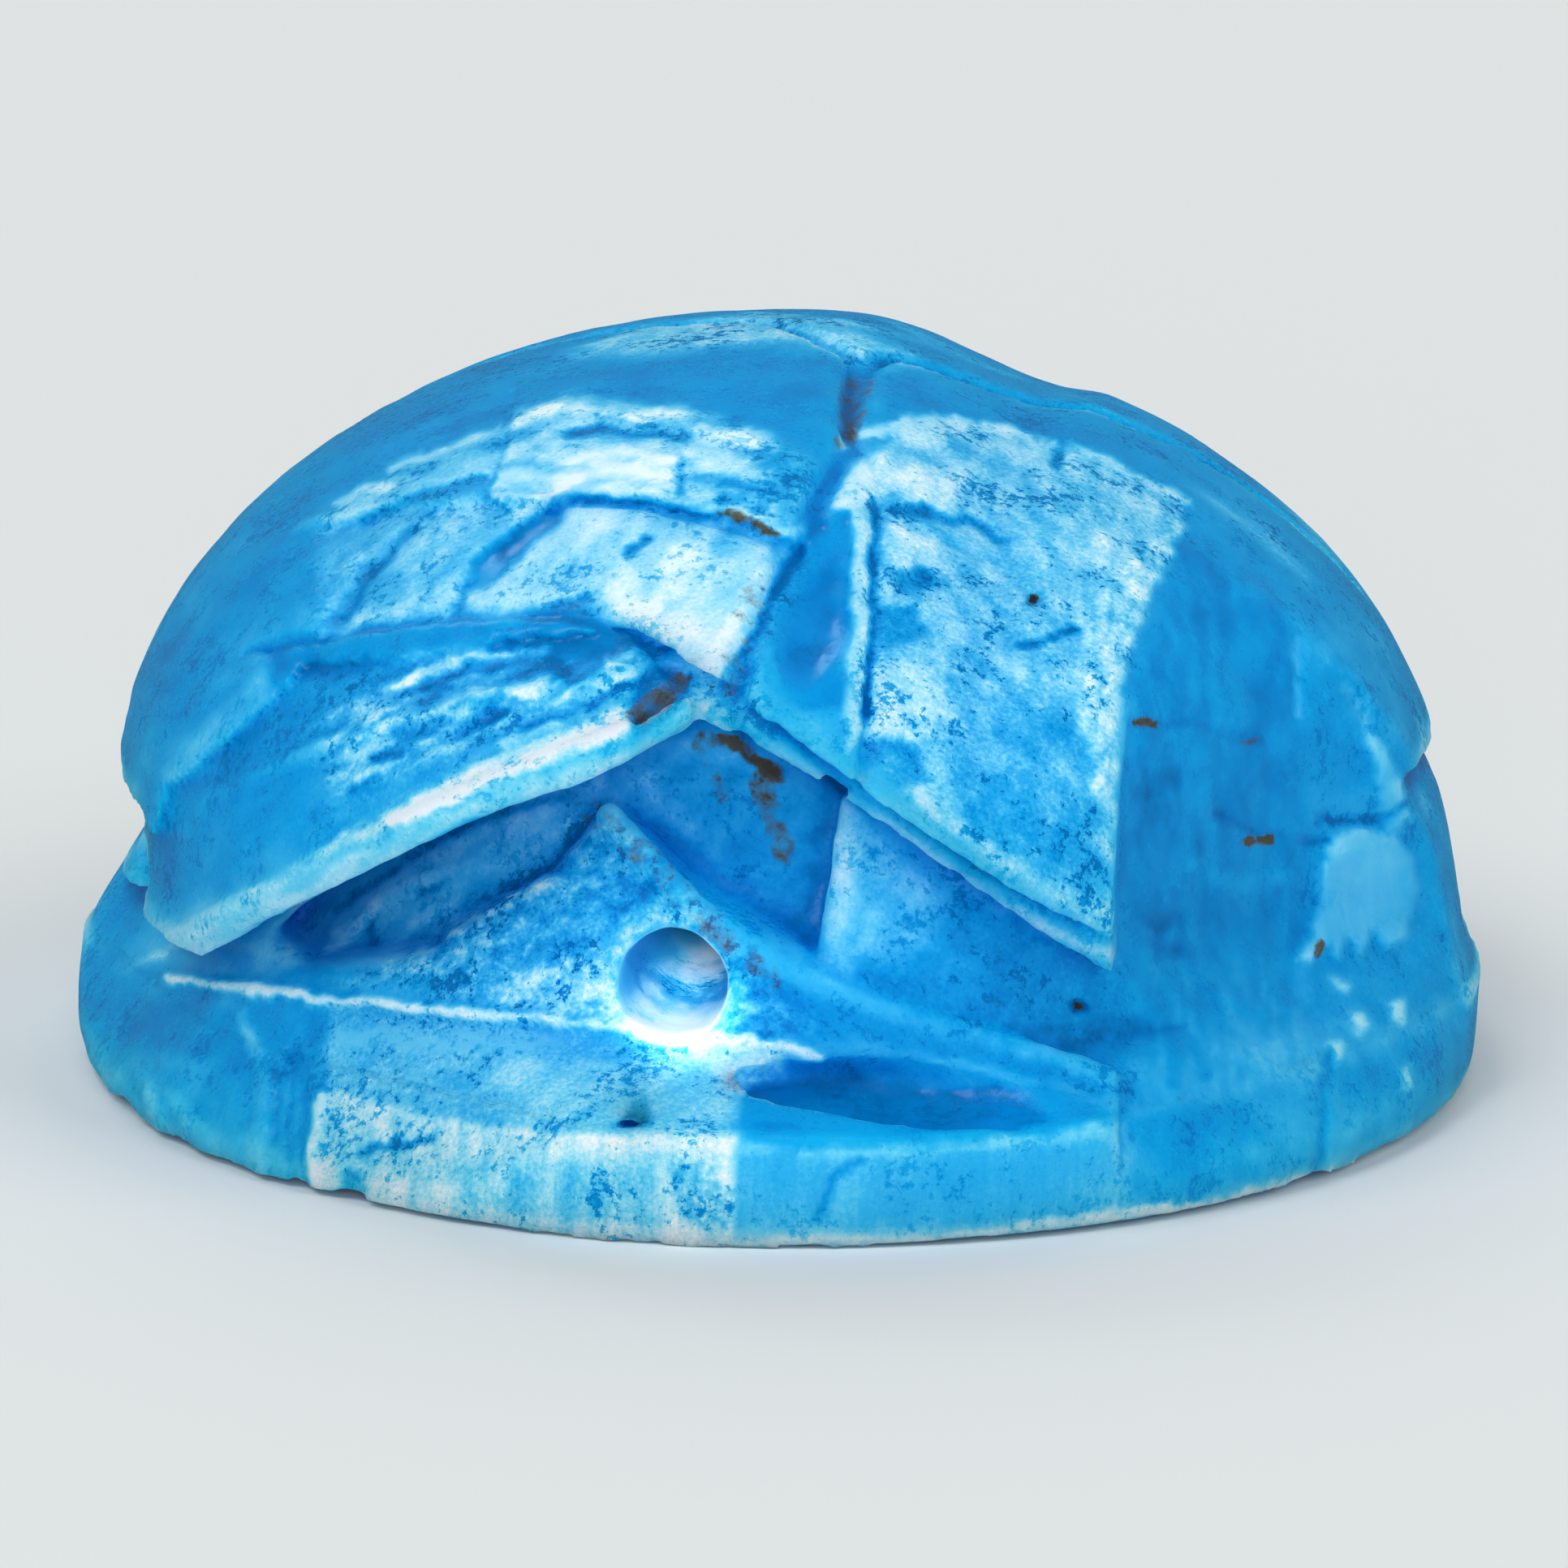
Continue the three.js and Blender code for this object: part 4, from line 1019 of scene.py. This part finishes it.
# How strong they are. The swarms don't mark the stone themselves: they raise the level of the pits.
cloudy, scratched, grainy, swarm = (
    add("ShaderNodeMapRange",
        Value=value, From_Min=start, From_Max=end, To_Min=least, To_Max=most).outputs[0]
    for value, start, end, least, most in [
        (clouds, 0.3, 0.7, -0.08, 0.08), (scratches.outputs["Fac"], 0.3, 0.7, -0.15, 0.15),
        (grains, 0.3, 0.7, -0.16, 0.16), (swarms, 0.42, 0.68, 0.0, 0.16),
    ]
)
pit_level = add("ShaderNodeMath", {"operation": "ADD"}, i0=pits, i1=swarm).outputs[0]
pitted = add("ShaderNodeMapRange",
             Value=pit_level, From_Min=0.63, From_Max=0.7, To_Min=0.0, To_Max=0.6).outputs[0]
texture = add("ShaderNodeMath", {"operation": "ADD"}, i0=scratched, i1=grainy).outputs[0]
texture = add("ShaderNodeMath", {"operation": "SUBTRACT"}, i0=texture, i1=pitted).outputs[0]
texture = add("ShaderNodeMath", {"operation": "MULTIPLY"}, i0=texture, i1=crust_mask).outputs[0]
frost_and_painted_light_level = add("ShaderNodeMath", {"operation": "ADD"}, i0=frost_and_painted_light_mask, i1=cloudy).outputs[0]
frost_and_painted_light_level = add("ShaderNodeMath", {"operation": "ADD", "use_clamp": True},
              i0=frost_and_painted_light_level, i1=texture).outputs[0]
# The frost mask also holds painted highlights, glints, glow and shadow, which the ramp turns into
# colour.
ramp = add("ShaderNodeValToRGB", Fac=frost_and_painted_light_level)
# From glassy deep blue to ground skin that is nearly white.
stops = ramp.color_ramp
DEEP_BLUE, GROUND_WHITE = "#006fb0", "#e2f6fd"
stops.elements[0].color = linear(DEEP_BLUE)
stops.elements[1].color = linear(GROUND_WHITE)
STONE_COLOURS = [
    (0.15, "#0286cc"), (0.3, "#089ada"), (0.45, "#2fabe4"), (0.6, "#62c4ec"), (0.8, "#a6dff5"),
]
for place, colour in STONE_COLOURS:
    stops.elements.new(place).color = linear(colour)
DIRT_BROWN = "#51430c"
dirt_noise = add("ShaderNodeTexNoise",
                 Vector=in_mm, Scale=5.0, Detail=5, Roughness=0.7).outputs["Fac"]
dirt_edge = add("ShaderNodeMath", {"operation": "ADD"}, i0=dirt_mask, i1=dirt_noise).outputs[0]
dirt_share = add("ShaderNodeMapRange",
                 Value=dirt_edge, From_Min=0.85, From_Max=1.15, To_Min=0.0, To_Max=0.92)
stained = add("ShaderNodeMix", {"data_type": "RGBA"},
              i0=dirt_share.outputs[0], i6=ramp.outputs["Color"], i7=linear(DIRT_BROWN))
tree.links.new(stained.outputs[2], shader.inputs["Base Color"])
gloss = add("ShaderNodeMapRange",
            Value=frost_and_painted_light_level, From_Min=0.05, From_Max=0.7, To_Min=0.17, To_Max=0.55)
tree.links.new(gloss.outputs[0], shader.inputs["Roughness"])
bump = add("ShaderNodeBump", Strength=0.9, Distance=0.00004, Height=texture)
tree.links.new(bump.outputs["Normal"], shader.inputs["Normal"])
shader.inputs["IOR"].default_value = 1.53
shader.inputs["Specular IOR Level"].default_value = 0.16
shader.inputs["Subsurface Weight"].default_value = 0.85
shader.inputs["Subsurface Scale"].default_value = 0.0025
shader.inputs["Subsurface Radius"].default_value = (0.75, 1.0, 1.0)
scarab.data.materials.append(stone_material)

# Floor
# A plain pale board, wide enough to fill every view.
floor_mesh = bpy.data.meshes.new("floor")
floor_mesh.from_pydata([(-2, -2, 0), (2, -2, 0), (2, 2, 0), (-2, 2, 0)], [], [(0, 1, 2, 3)])
floor = bpy.data.objects.new("floor", floor_mesh)
bpy.context.scene.collection.objects.link(floor)
# It doesn't show in the stone's gloss, so that the clear parts keep their depth.
floor.visible_glossy = False
floor_paint = bpy.data.materials.new("pale_matt_paint")
floor_paint.use_nodes = True
floor_shader = floor_paint.node_tree.nodes["Principled BSDF"]
floor_shader.inputs["Base Color"].default_value = linear("#e6e6e3")
floor_shader.inputs["Roughness"].default_value = 0.8
floor_mesh.materials.append(floor_paint)

# Lights
# Broad studio lights, far away: one in front that reaches into the hollows, one high at the left,
# one at the right, and one behind that shines through the stone. Three narrow ones give it glints.
# Round it the studio is dim.
world = bpy.data.worlds.new("studio")
bpy.context.scene.world = world
world.use_nodes = True
world.node_tree.nodes["Background"].inputs["Color"].default_value = (0.9, 0.95, 1, 1)
world.node_tree.nodes["Background"].inputs["Strength"].default_value = 0.12
WHITE, COOL = (1, 1, 1), (0.55, 0.84, 1)
# Each light's name, the place it shines from, how broad it is in degrees, its strength, its colour,
# and whether it shows as a highlight on the gloss.
LIGHTS = [
    ("front_light", (0.05, -1.0, 0.2), 24, 1.6, WHITE, False),
    ("high_left_light", (-0.7, -0.8, 1.2), 40, 1.2, WHITE, True),
    ("right_light", (1.0, -0.3, 0.8), 50, 0.9, WHITE, False),
    ("back_light", (-0.1, 1.0, 0.9), 50, 1.1, WHITE, False),
    ("left_glint", (-0.35, -0.75, 0.95), 12, 0.25, COOL, True),
    ("right_glint", (0.9, -0.6, 0.5), 12, 0.15, COOL, True),
    ("back_glint", (-0.5, 0.8, 0.8), 12, 0.2, COOL, True),
]
for name, place, breadth, strength, colour, shows in LIGHTS:
    lamp = bpy.data.lights.new(name, "SUN")
    lamp.angle = radians(breadth)
    lamp.energy = strength
    lamp.color = colour
    light = bpy.data.objects.new(name, lamp)
    light.rotation_euler = Vector(place).to_track_quat("Z", "Y").to_euler()
    light.visible_glossy = shows
    bpy.context.scene.collection.objects.link(light)
# A narrow beam from the front shines into the threading hole.
BEAM_TARGET = Vector((-0.00027, -0.0076, 0.00195))
beam_lamp = bpy.data.lights.new("threading_hole_beam", "SPOT")
beam_lamp.energy = 0.75
beam_lamp.spot_size = radians(0.95)
beam_lamp.spot_blend = 0.5
beam_lamp.shadow_soft_size = 0.0003
BEAM_LENGTH = 0.05
beam = bpy.data.objects.new("threading_hole_beam", beam_lamp)
beam.location = BEAM_TARGET + back_axis * BEAM_LENGTH
beam.rotation_euler = back_axis.to_track_quat("Z", "Y").to_euler()
beam.visible_camera = False
beam.visible_glossy = False
bpy.context.scene.collection.objects.link(beam)
